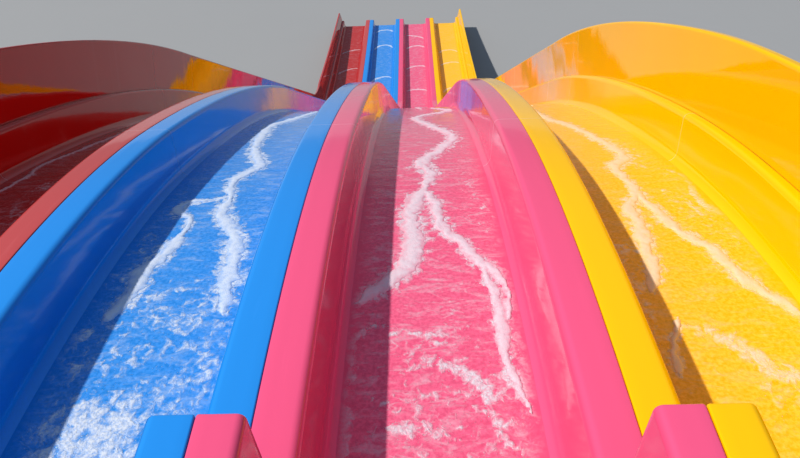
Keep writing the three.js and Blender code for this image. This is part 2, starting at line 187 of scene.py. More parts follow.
class Finishes(bpy.types.PropertyGroup):
    """Colours of the finishes"""

    red: tint("Red", "Gelcoat of the first lane", (0.46, 0.008, 0.006))
    blue: tint("Blue", "Gelcoat of the second lane", (0.015, 0.255, 0.68))
    pink: tint("Pink", "Gelcoat of the third lane", (0.8, 0.1, 0.215))
    yellow: tint("Yellow", "Gelcoat of the fourth lane", (0.94, 0.5, 0.0))
    foam: tint("Foam", "Froth on the water", (0.72, 0.73, 0.75))
    steel: tint("Steel", "Paint of the steelwork", (0.36, 0.39, 0.42))
    zinc: tint("Zinc", "Bolts and nuts", (0.55, 0.56, 0.57))
    rubber: tint("Rubber", "Pads under the lanes", (0.03, 0.03, 0.032))
    board: tint("Boards", "Deck boards", (0.42, 0.43, 0.44))
    floor: tint("Floor", "The studio floor", (0.34, 0.335, 0.325))


class StudioSettings(bpy.types.PropertyGroup):
    """Lights and camera"""

    sun: amount("Sun", "Strength of the key light", 3.2)
    sun_height: turn("Sun height", "Angle of the key light over the ground", 48.5)
    sun_swing: turn("Sun swing", "Turn of the key light towards the run-out", 10.0)
    sun_size: turn("Sun size", "Softness of the key light's shadows", 1.6)
    sky: amount("Sky", "Strength of the light from all round", 1.0)
    zenith: tint("Zenith", "Light from straight above", (0.21, 0.28, 0.39))
    horizon: tint("Horizon", "Light from near the horizon", (0.16, 0.18, 0.2))
    eye_height: length("Eye height", "Height of the camera over the deck", 1.514)
    eye_aside: length("Eye aside", "How far right of the middle the camera stands", 0.429)
    eye_ahead: length("Eye ahead", "How far the camera stands ahead of the tubs' back", 0.149)
    yaw: turn("Yaw", "How far left the camera looks", 1.944)
    pitch: turn("Pitch", "How far down the camera looks", 40.587)
    roll: turn("Roll", "How far the camera is rolled", -2.824)
    focal: FloatProperty(
        name="Focal length", description="Focal length of the camera", default=32.92,
        unit="CAMERA",
    )


GROUPS = {
    "line": SlideLine, "trough": TroughSizes, "wall": WallSizes, "steel": SteelSizes,
    "water": WaterLook, "finish": Finishes, "studio": StudioSettings,
}


def settings(name):
    """One group of the scene's settings."""
    return getattr(bpy.context.scene, f"slide_{name}")


# The line of the slide

def line_parts():
    """Each part of the line as its length and how far it turns down."""
    line = settings("line")
    return (
        (line.flat, 0.0),
        (line.brow_radius * line.brow_turn, line.brow_turn),
        (line.shoulder_radius * line.shoulder_turn, line.shoulder_turn),
        (line.chute, 0.0),
        (line.bend_radius * line.bend_turn, -line.bend_turn),
        (line.run_out, -line.run_out_turn),
    )


def station(distance):
    """The point of the divider line at a distance from the tubs' back, with its slope."""
    y, z, slope = TUB_BACK_Y, START_HEIGHT, 0.0
    left = distance
    parts = line_parts()
    for number, (reach, turned) in enumerate(parts):
        last = number == len(parts) - 1
        step = left if last else min(left, reach)
        if turned:
            radius = reach / turned
            after = slope + step / radius
            y += radius * (math.sin(after) - math.sin(slope))
            z += radius * (math.cos(after) - math.cos(slope))
            slope = after
        else:
            y += step * math.cos(slope)
            z -= step * math.sin(slope)
        left -= step
        if left <= 0:
            break
    return y, z, slope


def landmarks():
    """Distances at which the four CAD sections begin and end."""
    line = settings("line")
    reach = [part[0] for part in line_parts()]
    brow_end = sum(reach[:3])
    return (0.0, line.tub, brow_end, brow_end + reach[3], sum(reach))


def mouldings(tall=False):
    """The mouldings bolted end to end: section, first and last distance.

    The tall walls have no joint where the brow's two arcs meet, and their bend is a section.
    """
    marks, foot = landmarks(), bend_foot()
    first_arc = [] if tall else [sum(part[0] for part in line_parts()[:2])]
    trim = settings("line").brow_trim
    level = [foot, (foot + marks[4]) / 2, marks[4]]
    cuts = {
        "tub": [marks[0], marks[1]],
        "brow": [marks[1], *first_arc, marks[2] - trim, marks[2]],
        "chute": list(np.linspace(marks[2], marks[3], 4)),
        "bend": [marks[3], foot] if tall else [],
        "run_out": level if tall else [marks[3], *level],
    }
    return [
        (section, start, end)
        for section, stops in cuts.items()
        for start, end in zip(stops, stops[1:])
    ]


def place(distance, points):
    """Cross-section points (across, height) put at a distance along the line."""
    y, z, slope = station(distance)
    rise, run = math.sin(slope), math.cos(slope)
    return [(across, y + height * rise, z + height * run) for across, height in points]


def spot_at(distance, across, height):
    """One point put at a distance along the line."""
    return place(distance, [(across, height)])[0]


def graded(distance, first, last, start, end):
    """A size that changes evenly from first to last between two distances."""
    share = min(max((distance - start) / (end - start), 0.0), 1.0)
    return first + (last - first) * share


def bed_depth(distance):
    """Depth of the bed, less towards the end of the run-out."""
    trough = settings("trough")
    marks = landmarks()
    return graded(distance, trough.depth, trough.end_depth, marks[3], marks[4])


def bend_foot():
    """Distance at which the bend below the chute ends."""
    return landmarks()[3] + line_parts()[4][0]


def wall_height(distance):
    """Height of the tall walls at a distance."""
    wall = settings("wall")
    marks = landmarks()
    spots = (*marks[1:4], bend_foot(), marks[4])
    heights = (wall.start, wall.brow, wall.chute, wall.bend, wall.end)
    return float(np.interp(distance, spots, heights))


def wall_lean(distance):
    """How far the tall walls lean out for each metre of height."""
    flare = settings("wall").flare
    return graded(distance, 0.0, flare, landmarks()[3], bend_foot())


# Cross-sections. A section is a list of pairs: a point on the visible face and the one under it

# How far the outer lanes and the tall walls stay from the crease between them
LANE_FIT = 0.0002
WALL_FIT = 0.0003


def arc_pairs(centre, radius, under_centre, under_radius, start, end, steps):
    """Pairs along an arc, angles in degrees."""
    pairs = []
    for step in range(steps + 1):
        angle = math.radians(start + (end - start) * step / steps)
        toward = (math.cos(angle), math.sin(angle))
        pairs.append(tuple(
            (middle[0] + size * toward[0], middle[1] + size * toward[1])
            for middle, size in ((centre, radius), (under_centre, under_radius))
        ))
    return pairs


def flange_pairs(top, outer_width, edge):
    """The turned-down edge at the seam and the flat top, up to its rounded inner edge."""
    trough = settings("trough")
    thick, radius, tight = trough.shell, trough.seam, 0.001
    foot, bend = top - trough.drop * (2 if top else 1), top - 0.03
    corner = (thick + tight, top - thick - tight)
    pairs = [((0.0, foot), (thick, foot)), ((0.0, bend), (thick, bend))]
    pairs += arc_pairs((radius, top - radius), radius, corner, tight, 180, 90, 4)
    for share in (0.35, 0.7):
        across = outer_width * share
        pairs.append(((across, top), (max(across, corner[0] + tight), top - thick)))
    centre = (outer_width, top - edge)
    return pairs + arc_pairs(centre, edge, centre, max(edge - thick, tight), 90, 5, 7)


def side_pairs(depth, outer, block):
    """One side of a trough in from the lane's edge, down to where the bed is flat."""
    trough = settings("trough")
    inset = trough.crease if outer else 0.0
    wall_top = trough.flange + trough.edge - inset
    if block and not outer:
        pairs = flange_pairs(trough.block_rise, trough.block_top, trough.block_edge)
        thick = trough.shell
        pairs.append(((wall_top, -trough.edge), (wall_top - thick, -trough.edge)))
    else:
        pairs = flange_pairs(0.0, wall_top - trough.edge, trough.edge)
    centre = (wall_top + trough.draft + trough.fillet, trough.fillet - depth)
    radius = trough.fillet
    pairs += arc_pairs(centre, radius, centre, radius + trough.shell, 185, 270, 9)
    return pairs


def trough_pairs(distance, lane, block=False):
    """The whole cross-section of one lane, left to right, about the lane's own middle."""
    trough = settings("trough")
    depth = bed_depth(distance)
    sides = []
    for outer, sign in ((lane == 0, -1), (lane == LAST_LANE, 1)):
        reach = trough.pitch / 2 - (trough.crease + LANE_FIT if outer else trough.gap)
        pairs = side_pairs(depth, outer, block)
        sides.append([
            tuple((sign * (reach - across), height) for across, height in pair)
            for pair in pairs
        ])
    left, right = sides
    bed = []
    start, end = left[-1][0][0], right[-1][0][0]
    for share in (0.25, 0.5, 0.75):
        across = start + (end - start) * share
        bed.append(((across, -depth), (across, -depth - trough.shell)))
    return left + bed + right[::-1]


def wall_pairs(distance, sign):
    """The tall wall's cross-section, from its foot over the rolled rim."""
    trough, wall = settings("trough"), settings("wall")
    top, lean = wall_height(distance), wall_lean(distance)
    thick, radius = trough.shell, wall.rim_radius
    tilt = math.degrees(math.atan(lean))
    centre = (lean * top + radius, top - radius)
    low = top - radius * 1.4
    slant = thick / math.cos(math.atan(lean))
    pairs = [((0.0, -trough.drop), (thick, -trough.drop)), ((0.0, 0.0), (thick, 0.0))]
    for share in (0.15, 0.5, 0.85, 1.0):
        height = low * share
        pairs.append(((lean * height, height), (lean * height + slant, height)))
    pairs += arc_pairs(centre, radius, centre, 0.003, 180 - tilt, 90, 5)
    lip, small, tight = lean * top + wall.rim, 0.006, 0.001
    inner = (lip - thick, top - thick)
    pairs += arc_pairs((lip - small, top - small), small, inner, tight, 90, 0, 4)
    foot = top - wall.rim_drop
    pairs.append(((lip, foot), (lip - thick, foot)))
    crease = 2 * trough.pitch - trough.crease + WALL_FIT
    return [tuple((sign * (crease + x), h) for x, h in pair) for pair in pairs]


# Meshes

class Mesh:
    """Gathers the points and faces of one piece."""

    def __init__(self):
        self.points = []
        self.faces = []
        self.kinds = []
        self.flow = []

    def add(self, points, faces, kind=0, flow=None):
        first = len(self.points)
        self.points += [tuple(point) for point in points]
        self.flow += flow if flow else [(point[0], point[1]) for point in points]
        self.faces += [tuple(first + index for index in face) for face in faces]
        self.kinds += kind if isinstance(kind, list) else [kind] * len(faces)

    def build(self, name, materials, sharp=SHARP_ANGLE, outward=True):
        """Makes the object. The UV map holds each point's place along the flow."""
        mesh = bpy.data.meshes.new(name)
        mesh.from_pydata(self.points, [], self.faces)
        for material in materials:
            mesh.materials.append(material)
        mesh.polygons.foreach_set("material_index", self.kinds)
        layer = mesh.uv_layers.new(name="flow")
        corners = np.zeros(len(mesh.loops), dtype=np.int32)
        mesh.loops.foreach_get("vertex_index", corners)
        layer.data.foreach_set("uv", np.array(self.flow, dtype=np.float32)[corners].ravel())
        if outward:
            work = bmesh.new()
            work.from_mesh(mesh)
            bmesh.ops.recalc_face_normals(work, faces=work.faces)
            work.to_mesh(mesh)
            work.free()
        mesh.polygons.foreach_set("use_smooth", [True] * len(mesh.polygons))
        mesh.set_sharp_from_angle(angle=sharp)
        piece = bpy.data.objects.new(name, mesh)
        bpy.context.scene.collection.objects.link(piece)
        return piece


def hand_over(piece, slot, *nodes):
    """Fixes a piece to the slide's body and hides the solids that it stands for."""
    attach(piece, BODY)
    if nodes:
        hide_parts(*nodes)


def pulled(pairs, inset):
    """The visible face, drawn in towards the underside by inset."""
    points = []
    for face, under in pairs:
        reach = math.dist(face, under)
        share = inset / reach
        points.append(tuple(a + (b - a) * share for a, b in zip(face, under)))
    return points


def sweep_shell(mesh, section_at, stops, middle=0.0):
    """A shell swept along the line. stops are (distance, inset) from end to end."""
    count = len(section_at(stops[0][0]))
    points, flow = [], []
    for distance, inset in stops:
        pairs = section_at(distance)
        rings = pulled(pairs, inset), [pair[1] for pair in pairs]
        for ring in rings:
            moved = [(across + middle, height) for across, height in ring]
            points += place(distance, moved)
            flow += [(across, distance) for across, _ in moved]
    stride = 2 * count
    faces, kinds = [], []

    def quad(a, b, c, d, kind):
        faces.append((a, b, c, d))
        kinds.append(kind)

    for row in range(len(stops) - 1):
        here, there = row * stride, (row + 1) * stride
        for side, kind in ((0, 0), (count, 1)):
            for column in range(count - 1):
                a, b = here + side + column, there + side + column
                quad(a, a + 1, b + 1, b, kind)
        for column in (0, count - 1):
            a, b = here + column, there + column
            quad(a, b, b + count, a + count, 0)
    for row in (0, len(stops) - 1):
        for column in range(count - 1):
            a = row * stride + column
            quad(a, a + 1, a + 1 + count, a + count, 1)
    mesh.add(points, faces, kinds, flow)


def stops_between(start, end, pitch, chamfer=0.0015, fit=0.0004):
    """Distances of a moulding's rings, with its ends slightly chamfered."""
    start, end = start + fit, end - fit
    steps = max(1, round((end - start) / pitch))
    inner = list(np.linspace(start + chamfer, end - chamfer, steps + 1))
    return [(start, chamfer)] + [(distance, 0.0) for distance in inner] + [(end, chamfer)]


def box_at(mesh, matrix, size, chamfer=0.002, kind=0):
    """A box about the matrix's origin with its edges chamfered."""
    half = [value / 2 for value in size]
    cut = min(chamfer, min(half) * 0.8)
    work = bmesh.new()
    bmesh.ops.create_cube(work, size=1.0)
    for vert in work.verts:
        vert.co = Vector(value * 2 * half[axis] for axis, value in enumerate(vert.co))
    bmesh.ops.bevel(
        work, geom=work.edges[:], offset=cut, segments=1, affect="EDGES", profile=0.5
    )
    work.verts.index_update()
    points = [matrix @ vert.co for vert in work.verts]
    mesh.add(points, [[vert.index for vert in face.verts] for face in work.faces], kind)
    work.free()


def lathe_at(mesh, matrix, outline, sides=32, kind=0):
    """An outline of (radius, height) turned about the matrix's Z axis."""
    points, faces = [], []
    for radius, height in outline:
        for side in range(sides):
            angle = 2 * math.pi * side / sides
            points.append(matrix @ Vector(
                (radius * math.cos(angle), radius * math.sin(angle), height)
            ))
    for ring in range(len(outline) - 1):
        for side in range(sides):
            a, b = ring * sides + side, ring * sides + (side + 1) % sides
            faces.append((a, b, b + sides, a + sides))
    faces.append(tuple(range(sides)))
    last = (len(outline) - 1) * sides
    faces.append(tuple(last + side for side in range(sides)))
    mesh.add(points, faces, kind)


def prism_faces(count):
    """The faces of a prism between two rings of points."""
    ends = [tuple(range(count)), tuple(range(count, 2 * count))]
    return ends + [
        (i, (i + 1) % count, (i + 1) % count + count, i + count) for i in range(count)
    ]


def prism_at(mesh, matrix, outline, thick, kind=0):
    """A flat outline of (x, y) made thick along the matrix's Z axis, about its middle."""
    points = [
        matrix @ Vector((x, y, side * thick / 2)) for side in (-1, 1) for x, y in outline
    ]
    mesh.add(points, prism_faces(len(outline)), kind)


def grid_faces(rows, columns):
    """The faces of a grid of points, row by row."""
    return [
        (a, a + 1, a + columns + 1, a + columns)
        for row in range(rows - 1) for a in range(row * columns, (row + 1) * columns - 1)
    ]


def rounded(width, height, radius, steps=4):
    """The outline of a rectangle with rounded corners."""
    points = []
    for number, (x, y) in enumerate(((1, 1), (-1, 1), (-1, -1), (1, -1))):
        for step in range(steps + 1):
            angle = math.radians(90 * number + 90 * step / steps)
            points.append((
                x * (width / 2 - radius) + radius * math.cos(angle),
                y * (height / 2 - radius) + radius * math.sin(angle),
            ))
    return points


def aimed(start, end, up=(0.0, 0.0, 1.0)):
    """A matrix at start with Z towards end and Y as near up as it goes."""
    toward = (Vector(end) - Vector(start)).normalized()
    side = Vector(up).cross(toward).normalized()
    matrix = Matrix((side, toward.cross(side), toward)).transposed().to_4x4()
    matrix.translation = Vector(start)
    return matrix


def bar_at(mesh, start, end, outline, up=(0.0, 0.0, 1.0), kind=0):
    """A bar of one outline between two points."""
    reach = math.dist(start, end)
    matrix = aimed(start, end, up) @ Matrix.Translation((0, 0, reach / 2))
    prism_at(mesh, matrix, outline, reach, kind)


def tube_at(mesh, start, end, radius, sides=32, kind=0):
    """A round tube between two points, with its end edges softened."""
    reach, soft = math.dist(start, end), min(0.002, radius / 4)
    up = (0.0, 1.0, 0.0) if abs(start[2] - end[2]) > 0.5 * reach else (0.0, 0.0, 1.0)
    outline = [
        (radius - soft, 0), (radius, soft), (radius, reach - soft), (radius - soft, reach)
    ]
    lathe_at(mesh, aimed(start, end, up), outline, sides, kind)


def bolt_at(mesh, matrix, size, kind=1):
    """A washer, a hexagon nut and the end of the bolt, out along the matrix's Z axis."""
    lathe_at(mesh, matrix, [(size * 1.05, 0), (size * 1.05, size * 0.15)], 16, kind)
    tall = size * 0.95
    nut = [
        (size * 0.85, size * 0.15), (size * 0.87, size * 0.2),
        (size * 0.87, tall - size * 0.08), (size * 0.76, tall),
    ]
    lathe_at(mesh, matrix, nut, 6, kind)
    lathe_at(mesh, matrix, [(size * 0.5, tall), (size * 0.42, size * 1.35)], 12, kind)


def facing(point, toward, up=(0.0, 0.0, 1.0)):
    """A matrix at a point with its Z axis along toward."""
    point = Vector(point)
    if abs(Vector(toward).normalized().dot(Vector(up))) > 0.99:
        up = (0.0, 1.0, 0.0)
    return aimed(point, point + Vector(toward), up)


# Materials. A finish takes a node tree and a colour, and gives what the shader's sockets get

def feed(tree, socket, value):
    """Links a socket to another one, or sets its value."""
    if isinstance(value, bpy.types.NodeSocket):
        tree.links.new(value, socket)
    else:
        socket.default_value = (*value, 1.0) if socket.type == "RGBA" else value


def node(tree, kind, inputs=(), **options):
    """A shader node with its options and its inputs, which are values or sockets."""
    made = tree.nodes.new("ShaderNode" + kind)
    for name, value in options.items():
        setattr(made, name, value)
    for name, value in dict(inputs).items():
        feed(tree, made.inputs[name], value)
    return made


def maths(tree, operation, first, second=0.0, third=0.0, clamp=False):
    """The result of one sum."""
    inputs = {0: first, 1: second, 2: third}
    return node(tree, "Math", inputs, operation=operation, use_clamp=clamp).outputs[0]


def ranged(tree, value, low, high, new_low=0.0, new_high=1.0, smooth=True):
    """A value's range moved to a new one."""
    kind = "SMOOTHSTEP" if smooth else "LINEAR"
    inputs = {
        "Value": value, "From Min": low, "From Max": high,
        "To Min": new_low, "To Max": new_high,
    }
    return node(tree, "MapRange", inputs, interpolation_type=kind).outputs[0]


def blended(tree, share, first, second):
    """Two colours mixed by a share."""
    inputs = {"Factor": share, 6: first, 7: second}
    return node(tree, "Mix", inputs, data_type="RGBA").outputs[2]


def cloud(tree, where, scale, detail=3.0, rough=0.5, twist=0.0):
    """A noise value between 0 and 1."""
    inputs = {
        "Vector": where, "Scale": scale, "Detail": detail,
        "Roughness": rough, "Distortion": twist,
    }
    return node(tree, "TexNoise", inputs).outputs["Fac"]


def bumped(tree, height, depth, before=None, strength=1.0):
    """A normal bent by a height, depth in metres."""
    inputs = {"Height": height, "Distance": depth, "Strength": strength}
    if before is not None:
        inputs["Normal"] = before
    return node(tree, "Bump", inputs).outputs["Normal"]


def stretched(tree, where, scale):
    """Coordinates scaled along each axis."""
    return node(tree, "Mapping", {"Vector": where, "Scale": scale}).outputs["Vector"]


def streaks(tree, flow, across, along, *shape):
    """A noise value with its own scale across and along the flow."""
    return cloud(tree, stretched(tree, flow, (across, along, 1.0)), 1.0, *shape)


def cells(tree, where, scale, output="Distance"):
    """A pattern of cells."""
    return node(tree, "TexVoronoi", {"Vector": where, "Scale": scale}).outputs[output]


def shade(colour, factor, lift=0.0):
    """A colour made lighter or darker."""
    return tuple(min(1.0, channel * factor + lift) for channel in colour)


def solid_place(tree):
    """A point's place in space, in metres."""
    return node(tree, "TexCoord").outputs["Object"]


def flow_place(tree):
    """A point's place across and along the flow, in metres."""
    return node(tree, "UVMap", uv_map="flow").outputs["UV"]


def carried(tree, name):
    """A value that the mesh carries at its points."""
    return node(tree, "Attribute", attribute_name=name).outputs["Fac"]


# How much each lane's colour is paled on faces turned up, which is painted light from the sun
# and sky, and the weight of its clear coat
PAINTED_TOP_LIGHT = {"red": 1.4, "blue": 0.2, "pink": 0.1, "yellow": 0.0}
COAT = {"red": 0.35, "blue": 0.1, "pink": 0.2, "yellow": 0.02}


def gelcoat(tree, colour, top_light, coat, gloss=(0.015, 0.09)):
    """Glossy moulded gelcoat, slightly wavy, paler along its water marks and, as painted light,
    paler where it faces up.
    """
    solid, normal = solid_place(tree), None
    wide = cloud(tree, solid, 1.3, 2.0)
    marks = streaks(tree, flow_place(tree), 26.0, 2.2, 5.0, 0.6)
    base = blended(tree, wide, shade(colour, 0.94), shade(colour, 1.05))
    # Painted light: faces that turn up are mixed towards a paler colour, as if lit by the sun
    # and sky
    facing_up = node(tree, "NewGeometry").outputs["Normal"]
    facing_up = node(tree, "SeparateXYZ", {0: facing_up}).outputs["Z"]
    marks_and_top_light = ranged(tree, facing_up, 0.6, 0.95, 0.0, 0.8)
    marks_and_top_light = maths(tree, "MULTIPLY_ADD", ranged(tree, marks, 0.55, 0.8), 0.3, marks_and_top_light)
    waviness = ((2.3, 1.0, 0.0025), (17.0, 2.0, 0.00025), (240.0, 1.0, 0.00002))
    for scale, detail, depth in waviness:
        normal = bumped(tree, cloud(tree, solid, scale, detail), depth, normal)
    return {
        "Base Color": blended(tree, marks_and_top_light, base, shade(colour, 1.1, 0.07 * top_light)),
        "Roughness": ranged(tree, marks, 0.45, 0.8, *gloss), "Normal": normal,
        "IOR": 1.4 + 0.3 * coat, "Coat Weight": coat, "Coat IOR": 1.45,
        "Coat Roughness": 0.02, "Coat Normal": normal,
    }


def worn_gelcoat(tree, colour, top_light, coat):
    """Gelcoat of the lanes, which the mats rub a little duller."""
    return gelcoat(tree, colour, top_light, coat, (0.1, 0.18))


def laminate(tree, colour):
    """The rough underside, brushed with flow coat over chopped glass strands."""
    solid, grey = solid_place(tree), shade(colour, 0.55, 0.08)
    strands = cells(tree, stretched(tree, solid, (1.0, 0.3, 1.0)), 70.0)
    wide = ranged(tree, cloud(tree, solid, 2.4, 4.0, 0.6), 0.3, 0.7)
    normal = bumped(tree, strands, 0.0012)
    return {
        "Base Color": blended(tree, wide, shade(grey, 0.82), shade(grey, 1.1)),
        "Roughness": ranged(tree, strands, 0.0, 0.6, 0.5, 0.75),
        "Normal": bumped(tree, cloud(tree, solid, 14.0, 3.0), 0.002, normal),
    }


# How much thin froth each lane's open water carries, and how well its foam covers
HAZE = {"red": 0.2, "blue": 0.3, "pink": 0.42, "yellow": 0.16}
FOAM_COVER = {"red": 0.55, "blue": 0.84, "pink": 0.8, "yellow": 0.55}


def thin_froth(tree, flow, patch, haze):
    """Veins and wisps of froth over open water."""
    veins = streaks(tree, flow, 4.0, 9.0, 3.0, 0.5, 0.8)
    veins = maths(tree, "ABSOLUTE", maths(tree, "SUBTRACT", veins, 0.5))
    veins = ranged(tree, veins, 0.0, 0.028, 1.0, 0.0)
    veins = maths(tree, "MULTIPLY", veins, ranged(tree, patch, 0.42, 0.62))
    wisps = ranged(tree, streaks(tree, flow, 9.0, 20.0, 5.0, 0.66, 0.7), 0.48, 0.68)
    thin = maths(tree, "MULTIPLY_ADD", veins, 0.6, maths(tree, "MULTIPLY", wisps, 0.7))
    return maths(tree, "MULTIPLY_ADD", thin, haze, haze * 0.08)


def whiteness(tree, flow, clots, haze, cover):
    """How white the water is: mist round the foam, thin froth, and white specks that are
    painted glints of the sun and single bubbles.
    """
    froth = carried(tree, "froth")
    patch = streaks(tree, flow, 5.0, 8.0, 2.0, 0.5, 1.0)
    field = maths(tree, "MULTIPLY_ADD", patch, 1.2, maths(tree, "ADD", froth, -2.3))
    field = maths(tree, "MULTIPLY_ADD", clots, 2.3, field)
    mist = ranged(tree, field, -0.15, 0.55, 0.0, cover)
    thin = thin_froth(tree, flow, patch, haze)
    bubbly = ranged(tree, cloud(tree, flow, 85.0, 3.0, 0.6), 0.38, 0.62, 0.72, 1.15)
    white = maths(tree, "MULTIPLY", maths(tree, "MAXIMUM", mist, thin), bubbly)
    # Painted glints: small white specks among the froth, also standing for single bubbles
    glints_and_bubbles = maths(tree, "MULTIPLY_ADD", froth, 0.14, cloud(tree, flow, 140.0, 3.0, 0.6))
    glints_and_bubbles = ranged(tree, glints_and_bubbles, 0.72, 0.78)
    glints_and_bubbles = maths(tree, "MULTIPLY", glints_and_bubbles, ranged(tree, froth, 0.12, 0.4))
    return maths(tree, "MAXIMUM", white, glints_and_bubbles)


def running_water(tree, colour, haze, cover):
    """Wet gelcoat under a rippled film, with froth where the mesh carries some."""
    flow, inside = flow_place(tree), carried(tree, "inside")
    clots = streaks(tree, flow, 30.0, 24.0, 4.0, 0.6, 0.5)
    white = maths(tree, "MULTIPLY", whiteness(tree, flow, clots, haze, cover), inside)
    speckle = ranged(tree, streaks(tree, flow, 70.0, 60.0, 3.0, 0.6), 0.36, 0.64)
    base = blended(tree, speckle, shade(colour, 0.92), shade(colour, 1.04, 0.04))
    base = blended(tree, inside, colour, base)
    waves = streaks(tree, flow, 10.0, 20.0, 2.0, 0.5, 1.0)
    chop = streaks(tree, flow, 40.0, 54.0, 3.0, 0.6, 0.4)
    normal = bumped(tree, waves, 0.003, None, inside)
    normal = bumped(tree, chop, 0.002, normal, inside)
    foam = tuple(settings("finish").foam)
    return {
        "Base Color": blended(tree, white, base, foam), "IOR": 1.36,
        "Roughness": ranged(tree, white, 0.0, 1.0, 0.07, 0.5),
        "Normal": bumped(tree, maths(tree, "MULTIPLY", clots, white), 0.005, normal),
    }


def foam_froth(tree, colour, cover):
    """Froth that lets the lane's colour through, most of all along its edges."""
    flow = flow_place(tree)
    bubbles, clots = cells(tree, flow, 230.0), cloud(tree, flow, 60.0, 5.0, 0.65)
    thick = maths(tree, "MULTIPLY_ADD", clots, 1.1, carried(tree, "core"))
    thick = maths(tree, "MULTIPLY_ADD", bubbles, -0.3, thick)
    white = ranged(tree, thick, 0.4, 1.25, 0.55 * cover, cover)
    return {
        "Base Color": blended(tree, white, colour, tuple(settings("finish").foam)),
        "Roughness": ranged(tree, white, 0.1, 0.8, 0.15, 0.6),
        "Normal": bumped(tree, bubbles, 0.0006, bumped(tree, clots, 0.0016)),
    }


def painted(tree, colour):
    """Satin paint over steel, a little orange peel and faint dust."""
    solid = solid_place(tree)
    wide = cloud(tree, solid, 3.0, 5.0, 0.6)
    base = blended(tree, wide, shade(colour, 0.86), shade(colour, 1.1))
    worn = ranged(tree, cloud(tree, solid, 34.0, 6.0, 0.7), 0.68, 0.76, 0.0, 0.5)
    return {
        "Base Color": blended(tree, worn, base, shade(colour, 0.6)),
        "Roughness": ranged(tree, wide, 0.3, 0.7, 0.35, 0.52),
        "Normal": bumped(tree, cloud(tree, solid, 160.0, 2.0), 0.00015),
        "Coat Weight": 0.15, "Coat Roughness": 0.2,
    }


def zinc(tree, colour):
    """Hot-dip galvanised steel with its spangle."""
    spangle = cells(tree, solid_place(tree), 90.0, "Color")
    grey = node(tree, "RGBToBW", {0: spangle}).outputs[0]
    return {
        "Base Color": blended(tree, grey, shade(colour, 0.75), shade(colour, 1.15)),
        "Roughness": ranged(tree, grey, 0.0, 1.0, 0.32, 0.5), "Metallic": 0.9,
    }


def rubber(tree, colour):
    """Matt black rubber."""
    dust = cloud(tree, solid_place(tree), 30.0, 4.0)
    return {
        "Base Color": blended(tree, dust, colour, shade(colour, 2.2)),
        "Roughness": ranged(tree, dust, 0.3, 0.7, 0.7, 0.9),
        "Normal": bumped(tree, dust, 0.0006),
    }


def sealant(tree, colour):
    """Flexible sealant in the joints, a paler shade of the lane."""
    solid, pale = solid_place(tree), shade(colour, 0.55, 0.3)
    stains = cloud(tree, solid, 12.0, 5.0, 0.6)
    return {
        "Base Color": blended(tree, stains, shade(pale, 0.8), shade(pale, 1.1)),
        "Roughness": ranged(tree, stains, 0.3, 0.7, 0.35, 0.55),
        "Normal": bumped(tree, cloud(tree, solid, 80.0), 0.0005),
    }


def dirt(tree, colour):
    """Painted shade along a crease, a tenth to a half as bright as the lane's colour."""
    # Painted shade: the crease is coloured dark instead of being left to the light
    patches = cloud(tree, solid_place(tree), 9.0, 4.0)
    base = blended(tree, patches, shade(colour, 0.1), shade(colour, 0.5))
    return {"Base Color": base, "Roughness": 0.7}


def grit_board(tree, colour):
    """Moulded deck board with a gritty top."""
    solid = solid_place(tree)
    grain = cloud(tree, solid, 420.0, 2.0)
    damp = ranged(tree, cloud(tree, solid, 2.1, 5.0, 0.65), 0.46, 0.62)
    base = blended(tree, grain, shade(colour, 0.8), shade(colour, 1.15))
    return {
        "Base Color": blended(tree, damp, base, shade(colour, 0.72)),
        "Roughness": ranged(tree, damp, 0.0, 1.0, 0.75, 0.45),
        "Normal": bumped(tree, grain, 0.0007),
    }


def studio_floor(tree, colour):
    """Plain pale floor."""
    wide = cloud(tree, solid_place(tree), 0.35, 3.0)
    base = blended(tree, wide, shade(colour, 0.98), shade(colour, 1.02))
    return {"Base Color": base, "Roughness": 0.8}


# What some finishes take beside their colour, by lane
BY_LANE = {
    gelcoat: (PAINTED_TOP_LIGHT, COAT),
    worn_gelcoat: (PAINTED_TOP_LIGHT, COAT),
    running_water: (HAZE, FOAM_COVER),
    foam_froth: (FOAM_COVER,),
}


def material_for(finish, key):
    """One shared material for each finish and colour."""
    name = f"{key}_{finish.__name__}"
    found = bpy.data.materials.get(name)
    if found:
        return found
    material = bpy.data.materials.new(name)
    material.use_nodes = True
    tree = material.node_tree
    shader = tree.nodes["Principled BSDF"]
    colour = tuple(getattr(settings("finish"), key))
    extras = [values[key] for values in BY_LANE.get(finish, ())]
    for socket, value in finish(tree, colour, *extras).items():
        feed(tree, shader.inputs[socket], value)
    return material


def steel_kit():
    """Paint, zinc and rubber, in the order that the steel pieces use them."""
    finishes = ((painted, "steel"), (zinc, "zinc"), (rubber, "rubber"))
    return [material_for(finish, key) for finish, key in finishes]


def steel_piece(mesh, name):
    """Makes the painted steel that stands for one solid."""
    hand_over(mesh.build(f"{name}_steel", steel_kit()), "painted_steel", name)


def lane_piece(mesh, name, colour, finishes, *nodes, **how):
    """Makes a piece in a lane's colour, with zinc for its bolts."""
    materials = [material_for(kind, "zinc" if kind is zinc else colour) for kind in finishes]
    piece = mesh.build(name, materials, **how)
    hand_over(piece, f"gelcoat_{colour}", *nodes)
    return piece


# The moulded lanes

# Which of a section's pairs a joint flange may follow: a lane's beside its flat tops, and a
# wall's between foot and rim
BESIDE_TOPS = slice(9, -9)
WALL_FACE = slice(2, 6)
# Distance between the rings of a moulding
RING_PITCH = {"tub": 0.06, "brow": 0.06, "chute": 0.25, "bend": 0.07, "run_out": 0.07}


def lane_middle(lane):
    """Where a lane's middle lies across the slide."""
    return (lane - LAST_LANE / 2) * settings("trough").pitch


